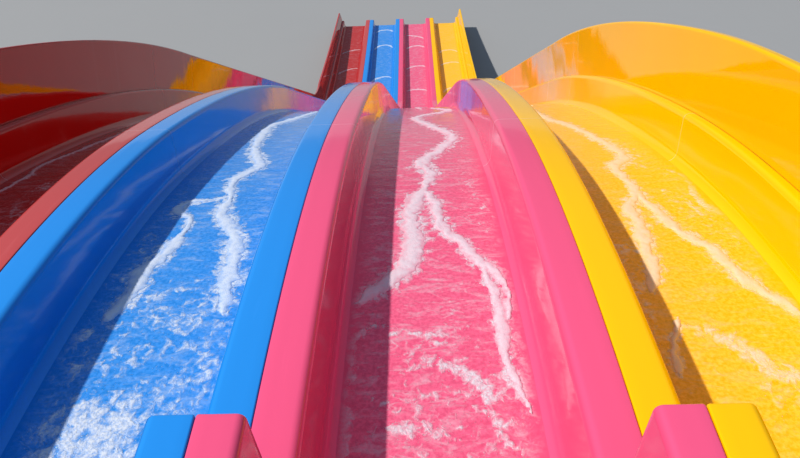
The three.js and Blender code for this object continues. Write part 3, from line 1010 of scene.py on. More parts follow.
def block_caps(mesh, lane, distance, inset, middle):
    """Closes the end of a tub's start blocks with a flat face each."""
    trough = settings("trough")
    ring = pulled(trough_pairs(distance, lane, block=True), inset)
    size = len(flange_pairs(trough.block_rise, trough.block_top, trough.block_edge)) + 1
    for outer, half in ((lane == 0, ring[:size]), (lane == LAST_LANE, ring[::-1][:size])):
        if outer:
            continue
        closing = (half[0][0], half[-1][1])
        outline = [(x + middle, h) for x, h in half + [closing]]
        mesh.add(place(distance, outline), [tuple(range(len(outline)))])


def back_plate(mesh, lane, middle):
    """The plate across the back of a tub, up to the divider tops."""
    trough, top = settings("trough"), -0.004
    pairs = trough_pairs(0.0, lane)
    inner = [under for face, under in pairs if face[1] < -trough.edge * 0.9]
    outline = [(x * 0.996 + middle, h * 0.99) for x, h in inner]
    outline = [(outline[0][0], top)] + outline + [(outline[-1][0], top)]
    points = place(0.001, outline) + place(trough.shell, outline)
    mesh.add(points, prism_faces(len(outline)))


def tub_stops(start, end, soft=0.009, fit=0.0004):
    """Distances and insets of a tub's rings, the front edge well rounded."""
    stops = [(start + fit, 0.0015), (start + 0.003, 0.0)]
    stops += [(distance, 0.0) for distance in np.linspace(start + 0.06, end - 0.02, 14)]
    for step in range(1, 5):
        angle = math.radians(90 * step / 4)
        stops.append((end - soft + soft * math.sin(angle) - fit,
                      soft * (1 - math.cos(angle)) * 0.6))
    return stops


def build_lane_piece(lane, section):
    """One lane's mouldings of one section."""
    mesh, middle, colour = Mesh(), lane_middle(lane), LANES[lane]
    for name, start, end in mouldings():
        if name == section == "tub":
            stops = tub_stops(start, end)
            sweep_shell(mesh, lambda d: trough_pairs(d, lane, True), stops, middle)
            for distance, inset in (stops[0], stops[-1]):
                block_caps(mesh, lane, distance, inset, middle)
            back_plate(mesh, lane, middle)
        elif name == section:
            stops = stops_between(start, end, RING_PITCH[section])
            sweep_shell(mesh, lambda d: trough_pairs(d, lane), stops, middle)
    node_name = f"{colour}_{section}"
    lane_piece(mesh, f"{node_name}_moulding", colour, (worn_gelcoat, laminate), node_name)


def build_wall_piece(side, sign, colour, section):
    """The tall wall's mouldings of one section."""
    mesh, node_name = Mesh(), f"{side}_wall_{section}"
    for name, start, end in mouldings(tall=True):
        if name == section:
            stops = stops_between(start, end, RING_PITCH[section])
            sweep_shell(mesh, lambda d: wall_pairs(d, sign), stops)
    lane_piece(mesh, f"{node_name}_moulding", colour, (gelcoat, laminate), node_name)


def joint_distances(tall=False):
    """Where two mouldings meet."""
    return [start for _, start, _ in mouldings(tall)[1:]]


def bead(mesh, section_at, distance, middle, width=0.0035, rise=0.0005):
    """A bead of sealant over a joint, along the visible face."""
    points, pairs = [], section_at(distance)
    for shift, inset in ((-width / 2, 0.0006), (0.0, -rise), (width / 2, 0.0006)):
        ring = [(x + middle, h) for x, h in pulled(pairs, inset)]
        points += place(distance + shift, ring)
    mesh.add(points, grid_faces(3, len(pairs)))


def joint_flange(mesh, pairs, distance, middle, height, thick=0.018):
    """The bolted flange under a joint, out from the underside of both mouldings."""
    outer = []
    for face, under in pairs:
        reach = math.dist(face, under)
        outer.append(tuple(b + (b - a) / reach * height for a, b in zip(face, under)))
    inner = [under for _, under in pairs]
    count = len(pairs)
    points = []
    for shift in (-thick / 2, thick / 2):
        for ring in (inner, outer):
            points += place(distance + shift, [(x + middle, h) for x, h in ring])
    faces = []
    for i in range(count - 1):
        a, b, c, d = (ring * count + i for ring in range(4))
        for p, q in ((a, b), (b, d), (d, c)):
            faces.append((p, p + 1, q + 1, q))
    for i in (0, count - 1):
        faces.append((i, count + i, 3 * count + i, 2 * count + i))
    mesh.add(points, faces)
    flange_bolts(mesh, inner, outer, distance, middle, thick)


def flange_bolts(mesh, inner, outer, distance, middle, thick, pitch=0.15):
    """Bolts along the middle of a joint flange, a nut on either side."""
    path = [((a[0] + b[0]) / 2, (a[1] + b[1]) / 2) for a, b in zip(inner, outer)]
    reach = [0.0]
    for a, b in zip(path, path[1:]):
        reach.append(reach[-1] + math.dist(a, b))
    bolts = max(2, round(reach[-1] / pitch))
    slope = station(distance)[2]
    ahead = Vector((0, math.cos(slope), -math.sin(slope)))
    for number in range(bolts):
        along = reach[-1] * (number + 0.5) / bolts
        across, height = (np.interp(along, reach, [p[axis] for p in path]) for axis in (0, 1))
        for sign in (-1, 1):
            point = Vector(spot_at(distance, across + middle, height))
            point += ahead * sign * thick / 2
            bolt_at(mesh, facing(point, ahead * sign), 0.011)


def crease_line(side, sign, colour):
    """The dark, uneven line of painted shade where a tall wall meets its lane."""
    trough = settings("trough")
    crease = 2 * trough.pitch - trough.crease
    mesh, rows = Mesh(), grid_rows(0.01, landmarks()[4] - 0.01, 0.05)
    points, flow = [], []
    for distance in rows:
        patchy = noise.noise(Vector((distance * 4, sign, 2.0)))
        width = 0.0022 * max(0.35, 0.9 + 1.1 * patchy)
        for reach, height in ((0.0, 0.0002), (-width, 0.0002 - width * 0.1)):
            points.append(spot_at(distance, sign * (crease + reach), height))
            flow.append((crease + reach, distance))
    mesh.add(points, grid_faces(len(rows), 2), flow=flow)
    # The line carries painted shade, not a material of the slide
    lane_piece(mesh, f"{side}_crease_line", colour, (dirt,), outward=False)


def joint_row(stem, colour, section_at, distances, middle, chosen, height):
    """The beads and flanges of one lane's or one wall's joints."""
    beads, flanges = Mesh(), Mesh()
    for distance in distances:
        bead(beads, section_at, distance, middle)
        joint_flange(flanges, chosen(section_at(distance)), distance, middle, height)
    lane_piece(beads, f"{stem}_beads", colour, (sealant,), outward=False)
    lane_piece(flanges, f"{stem}_flanges", colour, (laminate, zinc))


def build_joints():
    """Sealant beads in the joints, bolted flanges under them and the painted shade along the
    creases.
    """
    low = -settings("trough").edge * 0.5

    def inside(pairs):
        return [pair for pair in pairs[BESIDE_TOPS] if pair[0][1] < low]

    for lane, colour in enumerate(LANES):
        joint_row(f"{colour}_joint", colour, lambda d: trough_pairs(d, lane),
                  joint_distances(), lane_middle(lane), inside, 0.048)
    for side, sign, colour in SIDES:
        joint_row(f"{side}_wall", colour, lambda d: wall_pairs(d, sign),
                  joint_distances(tall=True), 0.0, lambda pairs: pairs[WALL_FACE], 0.03)
        crease_line(side, sign, colour)


# Running water. A path is a list of (across, distance) points from the lane's middle.
# A line of foam is (half width, path), a patch of froth is (half width, strength, path)

FOAM_LINES = {
    "red": [
        (0.012, [(-0.12, 6.0), (-0.2, 4.2), (-0.26, 3.7), (-0.22, 3.4), (-0.26, 3.0)]),
        (0.018, [(0.26, 3.9), (0.17, 3.35), (0.22, 2.9), (0.12, 2.4), (0.2, 1.9), (0.1, 1.5)]),
    ],
    "blue": [
        (0.034, [(0.05, 6.1), (-0.01, 5.3), (-0.12, 4.86), (-0.09, 4.3), (-0.04, 3.86),
                 (0.06, 3.5), (-0.02, 3.26), (0.02, 2.95)]),
        (0.02, [(0.04, 3.0), (-0.07, 2.95), (-0.17, 2.92), (-0.19, 2.82), (-0.1, 2.7),
                 (-0.09, 2.52)]),
        (0.032, [(-0.09, 2.58), (-0.1, 2.48), (-0.13, 2.35), (-0.17, 2.24), (-0.16, 2.1),
                 (-0.19, 1.93)]),
        (0.03, [(0.02, 2.97), (0.03, 2.76), (0.1, 2.6), (0.14, 2.5), (0.18, 2.28)]),
        (0.037, [(0.15, 2.48), (0.18, 2.28), (0.19, 2.12), (0.21, 1.96)]),
        (0.009, [(0.11, 2.59), (0.18, 2.54)]),
    ],
    "pink": [
        (0.036, [(0.1, 6.1), (0.22, 5.6), (-0.04, 5.07), (0.06, 4.57), (0.18, 4.16),
                 (0.1, 3.8), (-0.02, 3.47), (0.02, 3.25), (-0.03, 2.95)]),
        (0.037, [(-0.01, 3.05), (-0.06, 2.85), (-0.08, 2.65), (-0.07, 2.36), (-0.14, 2.16),
                 (-0.24, 2.03), (-0.31, 1.98)]),
        (0.027, [(-0.02, 3.0), (0.03, 2.83), (0.05, 2.57), (0.13, 2.39), (0.2, 2.2)]),
        (0.022, [(0.16, 2.28), (0.21, 2.22), (0.25, 2.15), (0.27, 2.05), (0.26, 1.88)]),
        (0.019, [(0.19, 2.24), (0.21, 2.1), (0.23, 1.8), (0.22, 1.7), (0.24, 1.58),
                 (0.27, 1.45)]),
    ],
    "yellow": [
        (0.03, [(-0.12, 6.0), (-0.09, 4.84), (-0.03, 4.55), (0.03, 4.2), (0.1, 3.6),
                 (0.08, 3.42), (0.0, 3.3), (0.0, 2.97), (-0.03, 2.8)]),
        (0.028, [(-0.02, 2.84), (-0.08, 2.72), (-0.08, 2.55), (-0.11, 2.4), (-0.13, 2.18),
                 (-0.18, 2.02)]),
        (0.024, [(0.0, 3.0), (0.01, 2.78), (0.05, 2.49), (0.13, 2.31), (0.15, 2.15),
                 (0.2, 2.01), (0.28, 1.88), (0.27, 1.6)]),
        (0.014, [(-0.14, 1.87), (-0.16, 1.78), (-0.2, 1.7), (-0.22, 1.58)]),
    ],
}
FROTH_PATCHES = {
    "red": [
        (0.05, 0.5, [(0.0, 3.4), (-0.05, 3.1), (0.02, 2.7), (0.0, 1.6)]),
        (0.05, 0.7, [(0.22, 3.3), (0.18, 2.9), (0.24, 2.4), (0.2, 1.9)]),
    ],
    "blue": [
        (0.3, 0.55, [(0.08, 1.95), (0.05, 1.7), (0.0, 1.0)]),
        (0.16, 0.95, [(-0.06, 1.45), (-0.05, 1.0)]),
        (0.1, 0.55, [(-0.06, 2.06), (0.01, 2.11), (0.1, 2.08)]),
        (0.05, 0.55, [(0.28, 1.5), (0.27, 1.66), (0.25, 1.8)]),
        (0.02, 0.6, [(-0.02, 2.14), (0.1, 2.18), (0.15, 2.24)]),
        (0.02, 0.5, [(-0.06, 2.47), (0.08, 2.5)]),
        (0.04, 0.75, [(-0.2, 1.94), (-0.24, 1.86), (-0.3, 1.78), (-0.32, 1.6)]),
        (0.1, 0.35, [(-0.24, 2.8), (-0.26, 2.2), (-0.26, 1.6)]),
    ],
    "pink": [
        (0.25, 0.45, [(0.1, 1.75), (0.05, 1.0)]),
        (0.06, 0.75, [(-0.33, 1.98), (-0.33, 1.72)]),
        (0.02, 0.95, [(-0.12, 1.86), (-0.2, 1.86), (-0.28, 1.78), (-0.27, 1.6),
                      (-0.3, 1.5), (-0.27, 1.43), (-0.28, 1.2)]),
        (0.022, 0.85, [(-0.27, 1.56), (-0.22, 1.54), (-0.14, 1.47)]),
        (0.03, 0.75, [(-0.16, 1.82), (-0.1, 1.84), (-0.03, 1.8)]),
        (0.022, 0.7, [(-0.1, 1.72), (0.03, 1.76)]),
        (0.022, 0.95, [(-0.13, 1.62), (0.01, 1.66), (0.09, 1.61), (0.15, 1.53), (0.14, 1.45),
                       (0.18, 1.36), (0.22, 1.28)]),
        (0.05, 0.75, [(-0.2, 1.37), (0.06, 1.39)]),
        (0.035, 0.85, [(0.23, 2.1), (0.28, 2.08), (0.31, 1.98), (0.3, 1.8)]),
        (0.05, 0.7, [(0.25, 1.85), (0.27, 1.6)]),
        (0.02, 0.7, [(0.25, 1.73), (0.3, 1.66), (0.3, 1.3)]),
        (0.04, 0.5, [(0.2, 3.3), (0.2, 2.95), (0.26, 2.85), (0.24, 2.5)]),
        (0.05, 0.4, [(0.12, 5.0), (-0.12, 4.4), (0.2, 3.9), (-0.14, 3.3)]),
    ],
    "yellow": [
        (0.02, 0.9, [(0.2, 3.25), (0.29, 3.1), (0.24, 2.8), (0.29, 2.5), (0.3, 2.1)]),
        (0.04, 0.75, [(-0.13, 1.82), (0.0, 1.74), (0.07, 1.6), (0.2, 1.5)]),
        (0.08, 0.6, [(0.02, 1.5), (0.2, 1.3), (0.2, 1.1)]),
        (0.06, 0.5, [(0.12, 2.9), (0.2, 2.6), (0.25, 2.3)]),
        (0.05, 0.6, [(-0.2, 2.4), (-0.25, 2.0), (-0.26, 1.6)]),
        (0.05, 0.45, [(-0.02, 4.3), (0.16, 3.7), (0.12, 3.2)]),
    ],
}
# Arched crests on the run-out: distance of the middle, how far the crest runs ahead for each
# metre to the right, how far its ends fall back
CRESTS = {
    "red": [(22.25, 0.5, 0.1), (20.75, 0.7, 0.15), (18.6, 0.3, 0.3), (17.3, -0.2, 0.3)],
    "blue": [(23.92, 0.15, 0.2), (22.62, 0.2, 0.3), (20.1, 0.5, 0.2), (18.4, 0.1, 0.3)],
    "pink": [(23.3, -0.5, 0.1), (22.47, 0.2, 0.2), (20.85, 0.3, 0.15), (19.15, 0.0, 0.1)],
    "yellow": [(22.05, 0.1, 0.2), (21.05, 0.3, 0.15), (19.2, 0.1, 0.3), (17.6, -0.2, 0.3)],
}
# Distance between the rows of the film, and how many strips it has across
FILM_ROWS = {"tub": 0.02, "brow": 0.02, "chute": 0.06, "run_out": 0.035}
FILM_COLUMNS = 48
# Where the drawn foam ends, and where the foam's finer mesh ends
DRAWN_END = 6.0
FINE_END = 6.3
CREST_HALF = 0.27


def smoothed(path, pitch):
    """A path with its corners rounded, as points about a pitch apart."""
    ends = [path[0]] + path + [path[-1]]
    fine = []
    for before, start, end, after in zip(ends, ends[1:], ends[2:], ends[3:]):
        steps = max(1, round(math.dist(start, end) / pitch))
        for step in range(steps):
            t = step / steps
            fine.append(tuple(
                b + 0.5 * t * (c - a + t * (2 * a - 5 * b + 4 * c - d
                                            + t * (3 * (b - c) + d - a)))
                for a, b, c, d in zip(before, start, end, after)
            ))
    return fine + [path[-1]]


def lower_foam(lane):
    """Foam down the chute, from a fixed seed, and the arched crests on the run-out."""
    draw = random.Random(settings("water").seed + lane)
    path, across, distance, limit = [], 0.0, DRAWN_END, 0.22
    while distance < landmarks()[3] + 1.0:
        path.append((across, distance))
        distance += draw.uniform(0.35, 0.9)
        across = max(-limit, min(limit, across + draw.uniform(-0.16, 0.16)))
    lines = [(0.016, path)]
    for middle, ahead, bow in CRESTS[LANES[lane]]:
        lines.append((0.024, [
            (x, middle + ahead * x - bow * (abs(x) / CREST_HALF) ** 3)
            for x in (-CREST_HALF, -0.2, -0.1, 0.0, 0.1, 0.2, CREST_HALF)
        ]))
    return lines


def nearness(points, lines):
    """How far each point lies from the nearest line, in half widths of that line.

    A line thins towards its ends.
    """
    far = 99.0
    nearest = np.full(len(points), far)
    for half, path in lines:
        reach = half * 5
        steps = len(path) - 1
        for number, (start, end) in enumerate(zip(path, path[1:])):
            taper = min(1.0, 0.4 + 5.0 * min(number, steps - 1 - number) / steps)
            a, b = np.array(start), np.array(end)
            low, high = min(a[1], b[1]) - reach, max(a[1], b[1]) + reach
            near = np.nonzero((points[:, 1] > low) & (points[:, 1] < high))[0]
            along = b - a
            share = np.clip((points[near] - a) @ along / (along @ along), 0, 1)
            gap = np.linalg.norm(points[near] - a - share[:, None] * along, axis=1)
            nearest[near] = np.minimum(nearest[near], gap / (half * taper))
    return nearest


def rippling(points, across, along, seed):
    """Noise between about -1 and 1 at each point."""
    return np.array([noise.noise(Vector((x * across, d * along, seed))) for x, d in points])


def strayed(points, seed):
    """Points moved a little, so that lines drawn through them turn uneven."""
    water, moved = settings("water"), points
    noise.seed_set(water.seed)
    for scale, share in ((13, 1.0), (47, 0.45)):
        moved = moved + water.wander * share * np.array([
            noise.noise_vector(Vector((x * scale, d * scale, seed)))[:2] for x, d in points
        ])
    return moved


def film_half():
    """Half of the width that the water wets."""
    trough, water, lap = settings("trough"), settings("water"), 0.002
    lift = trough.fillet - water.film
    reach = trough.pitch / 2 - trough.flange - trough.edge - trough.draft - trough.fillet
    return reach + math.sqrt(trough.fillet**2 - lift**2) + lap


def film_height(points, lane):
    """Height of the film over the bed."""
    water = settings("water")
    edge = np.clip((film_half() - np.abs(points[:, 0])) / 0.03, 0.0, 1.0)
    return water.film + water.ripple * rippling(points, 9, 22, lane + 5.0) * edge


def grid_rows(start, end, pitch):
    """Evenly spaced distances."""
    return np.linspace(start, end, max(2, round((end - start) / pitch)))


def sheet_points(rows, columns, heights, middle):
    """The points of a sheet that follows the bed, with their places along the flow."""
    points, flow = [], []
    count = len(columns)
    for number, distance in enumerate(rows):
        depth = bed_depth(distance)
        part = heights[number * count:(number + 1) * count]
        points += place(distance, [(x + middle, h - depth) for x, h in zip(columns, part)])
        flow += [(x + middle, distance) for x in columns]
    return points, flow


def carry(piece, name, values):
    """Stores a value at each of a piece's points."""
    layer = piece.data.attributes.new(name, "FLOAT", "POINT")
    layer.data.foreach_set("value", np.array(values, dtype=np.float32))


def foam_paths(lane, pitch, lower_pitch):
    """All lines of foam in a lane with their corners rounded."""
    drawn = ((FOAM_LINES[LANES[lane]], pitch), (lower_foam(lane), lower_pitch))
    return [(half, smoothed(path, step)) for lines, step in drawn for half, path in lines]


def build_film(lane):
    """The film of water in one lane. Its froth value says how much froth it carries."""
    colour, marks, half = LANES[lane], landmarks(), film_half()
    rows = []
    for section, start, end in zip(SECTIONS, marks, marks[1:]):
        rows += list(grid_rows(max(start, 0.02), end - 0.004, FILM_ROWS[section]))
    columns = np.linspace(-half, half, FILM_COLUMNS + 1)
    spots = np.array([(x, distance) for distance in rows for x in columns])
    froth = np.clip((1.6 - spots[:, 1]) * 0.5, 0.0, 0.3)
    moved = strayed(spots, lane + 0.5)
    for width, strength, path in FROTH_PATCHES[colour]:
        near = nearness(moved, [(width, smoothed(path, 0.08))])
        froth = np.maximum(froth, strength * np.clip(1.5 - near * 0.9, 0.0, 1.0))
    near = nearness(moved, foam_paths(lane, 0.08, 0.08))
    froth = np.maximum(froth, 0.9 * np.clip(1.5 - 0.5 * near, 0.0, 1.0))
    points, flow = sheet_points(rows, columns, film_height(spots, lane), lane_middle(lane))
    mesh = Mesh()
    mesh.add(points, grid_faces(len(rows), len(columns)), flow=flow)
    piece = lane_piece(mesh, f"{colour}_running_water", colour, (running_water,),
                       sharp=math.pi, outward=False)
    carry(piece, "froth", froth)
    carry(piece, "inside", np.clip((half - np.abs(spots[:, 0])) / 0.06, 0.0, 1.0))


def foam_height(spots, lane, lines):
    """Height of the foam over the film, less than nothing beside the lines."""
    height = np.full(len(spots), -1.0)
    near = np.nonzero(nearness(spots, lines) < 3.0)[0]
    some = spots[near]
    near_line = nearness(strayed(some, lane + 0.5), lines)
    width = 1.05 + 0.6 * rippling(some, 7, 7, lane) + 0.4 * rippling(some, 31, 31, lane)
    beside = np.clip((film_half() - 0.012 - np.abs(some[:, 0])) / 0.04, 0.01, 1.0)
    share = near_line / (width * beside)
    lumps = 0.8 + 0.35 * rippling(some, 30, 30, lane) + 0.2 * rippling(some, 80, 80, lane)
    dome = np.clip(1.0 - share**2, 0.0, 1.0) * lumps
    height[near] = np.where(share < 1.0, dome * settings("water").foam_height, -1.0)
    return height


def build_foam(lane):
    """The raised lines of foam in one lane. Its core value is 1 along their middle."""
    colour, full = LANES[lane], settings("water").foam_height
    lines, half = foam_paths(lane, 0.03, 0.05), film_half() - 0.008
    mesh, cores, sunk = Mesh(), [], -0.001
    stretches = ((0.1, FINE_END, 0.0055), (FINE_END, landmarks()[4] - 0.05, 0.013))
    for start, end, pitch in stretches:
        rows, columns = grid_rows(start, end, pitch), grid_rows(-half, half, pitch)
        spots = np.array([(x, distance) for distance in rows for x in columns])
        over = foam_height(spots, lane, lines)
        raised = over > 0
        heights = np.full(len(spots), sunk)
        heights[raised] = film_height(spots[raised], lane) + over[raised]
        points, flow = sheet_points(rows, columns, heights, lane_middle(lane))
        faces = grid_faces(len(rows), len(columns))
        faces = [face for face in faces if raised[list(face)].any()]
        used, where = np.unique(np.array(faces), return_inverse=True)
        mesh.add([points[i] for i in used], where.reshape(-1, 4).tolist(),
                 flow=[flow[i] for i in used])
        cores += list(np.clip(over[used] / full, 0.0, 1.0))
    piece = lane_piece(mesh, f"{colour}_foam", colour, (foam_froth,),
                       sharp=math.pi, outward=False)
    carry(piece, "core", cores)


# Steelwork

# Turns a plate that lies flat to stand across the slide
UPRIGHT = Matrix.Rotation(math.pi / 2, 4, "X")
# The rubber pad between a lane and a beam
PAD_SIZE = (0.5, 0.16, 0.003)
# Heights of the tower's ties, and the columns that each bracing panel joins
TIE_LEVELS = (2.85, 5.7)
BRACE_ENDS = (
    ("left", "front_left", "rear_left"), ("right", "front_right", "rear_right"),
    ("rear", "rear_left", "rear_right"),
)
BOARD_THICK = 0.04


def plan_middle(name):
    """The middle of a solid's box, seen from above."""
    low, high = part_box(name)
    return (low.x + high.x) / 2, (low.y + high.y) / 2


def base_plate(mesh, x, y, size, column, thick):
    """A base plate with its anchor bolts and the stiffeners round the column."""
    box_at(mesh, Matrix.Translation((x, y, thick / 2)), (size, size, thick), 0.003)
    reach = size / 2 - 0.045
    for sx, sy in CORNERS:
        spot = (x + sx * reach, y + sy * reach, thick)
        bolt_at(mesh, facing(spot, (0, 0, 1)), 0.018)
    inner, rise, toe, run = column - 0.004, 0.16, 0.018, size / 2 - column - 0.012
    fin = [(inner, 0.0), (column + run, 0.0), (column + run, toe), (column + 0.014, rise),
           (inner, rise)]
    for quarter in range(4):
        turned = Matrix.Rotation(math.pi / 2 * quarter, 4, "Z")
        prism_at(mesh, Matrix.Translation((x, y, thick)) @ turned @ UPRIGHT, fin, 0.01)


def beam_seat(y, drop):
    """The distance at which a point drop under the bed's underside lies at y."""
    shell = settings("trough").shell
    low, high = 0.0, landmarks()[4]
    for _ in range(40):
        middle = (low + high) / 2
        if spot_at(middle, 0.0, -bed_depth(middle) - shell - drop)[1] < y:
            low = middle
        else:
            high = middle
    return middle


def lane_brackets(mesh, distance, top):
    """Rubber pads and bolted angles that hold each lane on a beam."""
    tilt = Matrix.Rotation(-station(distance)[2], 4, "X")
    foot_size, leg_size, leg_aside = (0.07, 0.12, 0.008), (0.008, 0.12, 0.12), 0.357
    for lane in range(len(LANES)):
        middle = lane_middle(lane)
        spot = spot_at(distance, middle, top)
        box_at(mesh, Matrix.Translation(spot) @ tilt, PAD_SIZE, 0.001, 2)
        for sign in (-1, 1):
            x = middle + sign * leg_aside
            foot = spot_at(distance, x + sign * 0.03, top - 0.0015 + 0.004)
            box_at(mesh, Matrix.Translation(foot) @ tilt, foot_size, 0.001)
            leg = spot_at(distance, x, top + 0.06)
            box_at(mesh, Matrix.Translation(leg) @ tilt, leg_size, 0.001)
            bolt = spot_at(distance, x + sign * 0.038, top + 0.0065)
            bolt_at(mesh, Matrix.Translation(bolt) @ tilt, 0.012)
            for height in (0.055, 0.095):
                hole = spot_at(distance, x + sign * 0.004, top + height)
                bolt_at(mesh, facing(hole, (sign, 0, 0)), 0.01)


def portal_column(mesh, x, y, top, slope):
    """A portal's column on its base plate, with fins under the beam if there is room."""
    steel = settings("steel")
    tube_at(mesh, (x, y, steel.plate_thick), (x, y, top), steel.column, 40)
    base_plate(mesh, x, y, steel.plate, steel.column, steel.plate_thick)
    beam_low = top - steel.beam_depth / 2 / math.cos(slope)
    inner, outer, toe, drop, room = steel.column - 0.004, steel.column + 0.13, -0.02, -0.15, 0.3
    if beam_low > room:
        matrix = Matrix.Translation((x, y, beam_low + 0.004)) @ UPRIGHT
        for flip in (1, -1):
            fin = [(flip * inner, 0), (flip * outer, 0), (flip * outer, toe),
                   (flip * inner, drop)]
            prism_at(mesh, matrix, fin, 0.01)


def portal_ties(mesh, y, height, top):
    """Level ties between a portal's columns, with a collar at each end."""
    steel = settings("steel")
    half, collar = steel.spacing / 2, [(0.07, 0), (0.07, 0.012), (0.05, 0.014)]
    ties = math.floor((top - 0.1) / steel.tie_spacing)
    for tie in range(1, ties + 1):
        z = height * tie / (ties + 1)
        tube_at(mesh, (-half, y, z), (half, y, z), steel.tie, 28)
        for sign in (-1, 1):
            x = sign * (half - steel.column - 0.006)
            lathe_at(mesh, facing((x, y, z), (-sign, 0, 0)), collar, 28)


def build_portal(number):
    """A portal: two columns on base plates, ties, and a beam laid to the slope."""
    steel, name, mesh = settings("steel"), f"portal_{number}", Mesh()
    y = plan_middle(name)[1]
    drop = PAD_SIZE[2] + steel.beam_depth / 2
    distance = beam_seat(y, drop)
    slope = station(distance)[2]
    under = -bed_depth(distance) - settings("trough").shell
    centre, half = Vector(spot_at(distance, 0.0, under - drop)), steel.beam_length / 2
    outline = rounded(steel.beam_width, steel.beam_depth, 0.012)
    up = (0.0, math.sin(slope), math.cos(slope))
    bar_at(mesh, centre - Vector((half, 0, 0)), centre + Vector((half, 0, 0)), outline, up)
    for sign in (-1, 1):
        portal_column(mesh, sign * steel.spacing / 2, y, centre.z, slope)
    portal_ties(mesh, y, centre.z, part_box(name)[1].z)
    lane_brackets(mesh, distance, under - PAD_SIZE[2] / 2)
    steel_piece(mesh, name)


def build_tower_columns():
    """The four tower columns with base and cap plates."""
    steel = settings("steel")
    thick = steel.plate_thick
    cap = 2 * (steel.tower_column + thick)
    reach = cap / 2 - 0.028
    for end in ("front", "rear"):
        for side in ("left", "right"):
            name, mesh = f"tower_column_{end}_{side}", Mesh()
            (x, y), top = plan_middle(name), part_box(name)[1].z
            tube_at(mesh, (x, y, thick), (x, y, top - thick), steel.tower_column, 48)
            base_plate(mesh, x, y, steel.tower_plate, steel.tower_column, thick)
            spot = Matrix.Translation((x, y, top - thick / 2))
            box_at(mesh, spot, (cap, cap, thick), 0.003)
            for sx, sy in CORNERS:
                point = (x + sx * reach, y + sy * reach, top - thick)
                bolt_at(mesh, facing(point, (0, 0, -1)), 0.014)
            steel_piece(mesh, name)


def frame_lines(low, high):
    """Where the frame's beams lie, from its own box and the columns."""
    half = settings("steel").frame_width / 2
    column_x, front = plan_middle("tower_column_front_right")
    side, rear = high.x - half, low.y + half
    across = [-side, -column_x, 0.0, column_x, side]
    along = [rear, (rear + front) / 2, front, high.y - half]
    return across, along


def build_tower_frame():
    """Beams under the deck, welded into a grid with a gusset in each corner."""
    width, slack, mesh = settings("steel").frame_width, 0.001, Mesh()
    low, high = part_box("tower_frame")
    across, along = frame_lines(low, high)
    middle = (low.z + high.z) / 2
    outline = rounded(width, high.z - low.z, 0.01)
    for x in across:
        bar_at(mesh, (x, low.y, middle), (x, high.y, middle), outline)
    outline = rounded(width - 2 * slack, high.z - low.z - 2 * slack, 0.01)
    for y in along:
        bar_at(mesh, (low.x + slack, y, middle), (high.x - slack, y, middle), outline)
    for x in across:
        for y in along:
            for sx, sy in CORNERS:
                spot = (x + sx * width * 0.62, y + sy * width * 0.62, middle)
                if low.x < spot[0] < high.x and low.y < spot[1] < high.y:
                    turned = Matrix.Rotation(math.radians(45) * sx * -sy, 4, "Z")
                    box_at(mesh, Matrix.Translation(spot) @ turned, (0.09, 0.01, 0.1), 0.001)
    steel_piece(mesh, "tower_frame")


def build_braces():
    """Flat bracing panels: ties, diagonals and bolted gussets."""
    gusset = settings("steel").gusset
    levels = [gusset, *TIE_LEVELS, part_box("tower_frame")[0].z - gusset]
    for panel, *ends in BRACE_ENDS:
        spots = [plan_middle(f"tower_column_{end}") for end in ends]
        build_brace(f"brace_{panel}", spots, levels)


def gusset_at(mesh, matrix, side, cut=0.06, thick=0.016):
    """A gusset with its outer corners cut off and bolts on both faces."""
    size = side / 2
    shape = [(-size, -size), (size - cut, -size), (size, -size + cut), (size, size - cut),
             (size - cut, size), (-size, size)]
    prism_at(mesh, matrix, shape, thick)
    for x, y in ((0.05, 0.085), (0.085, 0.05), (0.05, -0.085), (0.085, -0.05)):
        for face in (-1, 1):
            hole = matrix @ Vector((x, y, face * thick / 2))
            bolt_at(mesh, facing(hole, matrix.to_3x3().col[2] * face), 0.012)


def build_brace(name, ends, levels):
    """One bracing panel between two columns."""
    steel, mesh = settings("steel"), Mesh()
    along = Vector((ends[1][0] - ends[0][0], ends[1][1] - ends[0][1], 0)).normalized()
    reach, lap, deep_lap = steel.tower_column, 0.01, 0.02

    def knot(end, z, inset):
        shift = along * inset * (1 if end == 0 else -1)
        return Vector((*ends[end], z)) + shift

    for z in levels[1:-1]:
        tube_at(mesh, knot(0, z, reach - lap), knot(1, z, reach - lap), steel.brace, 28)
        for end, sign in ((0, 1), (1, -1)):
            toward = along * sign
            turned = Matrix((toward, (0, 0, 1), toward.cross((0, 0, 1)))).transposed()
            spot = knot(end, z, reach + steel.gusset / 2 - 0.002)
            gusset_at(mesh, Matrix.Translation(spot) @ turned.to_4x4(), steel.gusset)
    for bay in range(len(levels) - 1):
        first, second = (1, 0) if bay % 2 else (0, 1)
        start = knot(first, levels[bay], reach - deep_lap)
        end = knot(second, levels[bay + 1], reach - deep_lap)
        tube_at(mesh, start, end, steel.brace * 0.95, 28)
    steel_piece(mesh, name)


def board_outline(width, thick, grooves=6, depth=0.003, land=0.004):
    """A deck board's section, with grooves along its top."""
    half, top = width / 2, thick / 2
    points = [(-half, -top), (-half + 0.001, top - 0.002), (-half + 0.003, top)]
    pitch = (width - 0.012) / grooves
    for groove in range(grooves):
        x = -half + 0.006 + pitch * (groove + 0.5)
        points += [(x - land, top), (x - land / 2, top - depth),
                   (x + land / 2, top - depth), (x + land, top)]
    return points + [(half - 0.003, top), (half - 0.001, top - 0.002), (half, -top)]


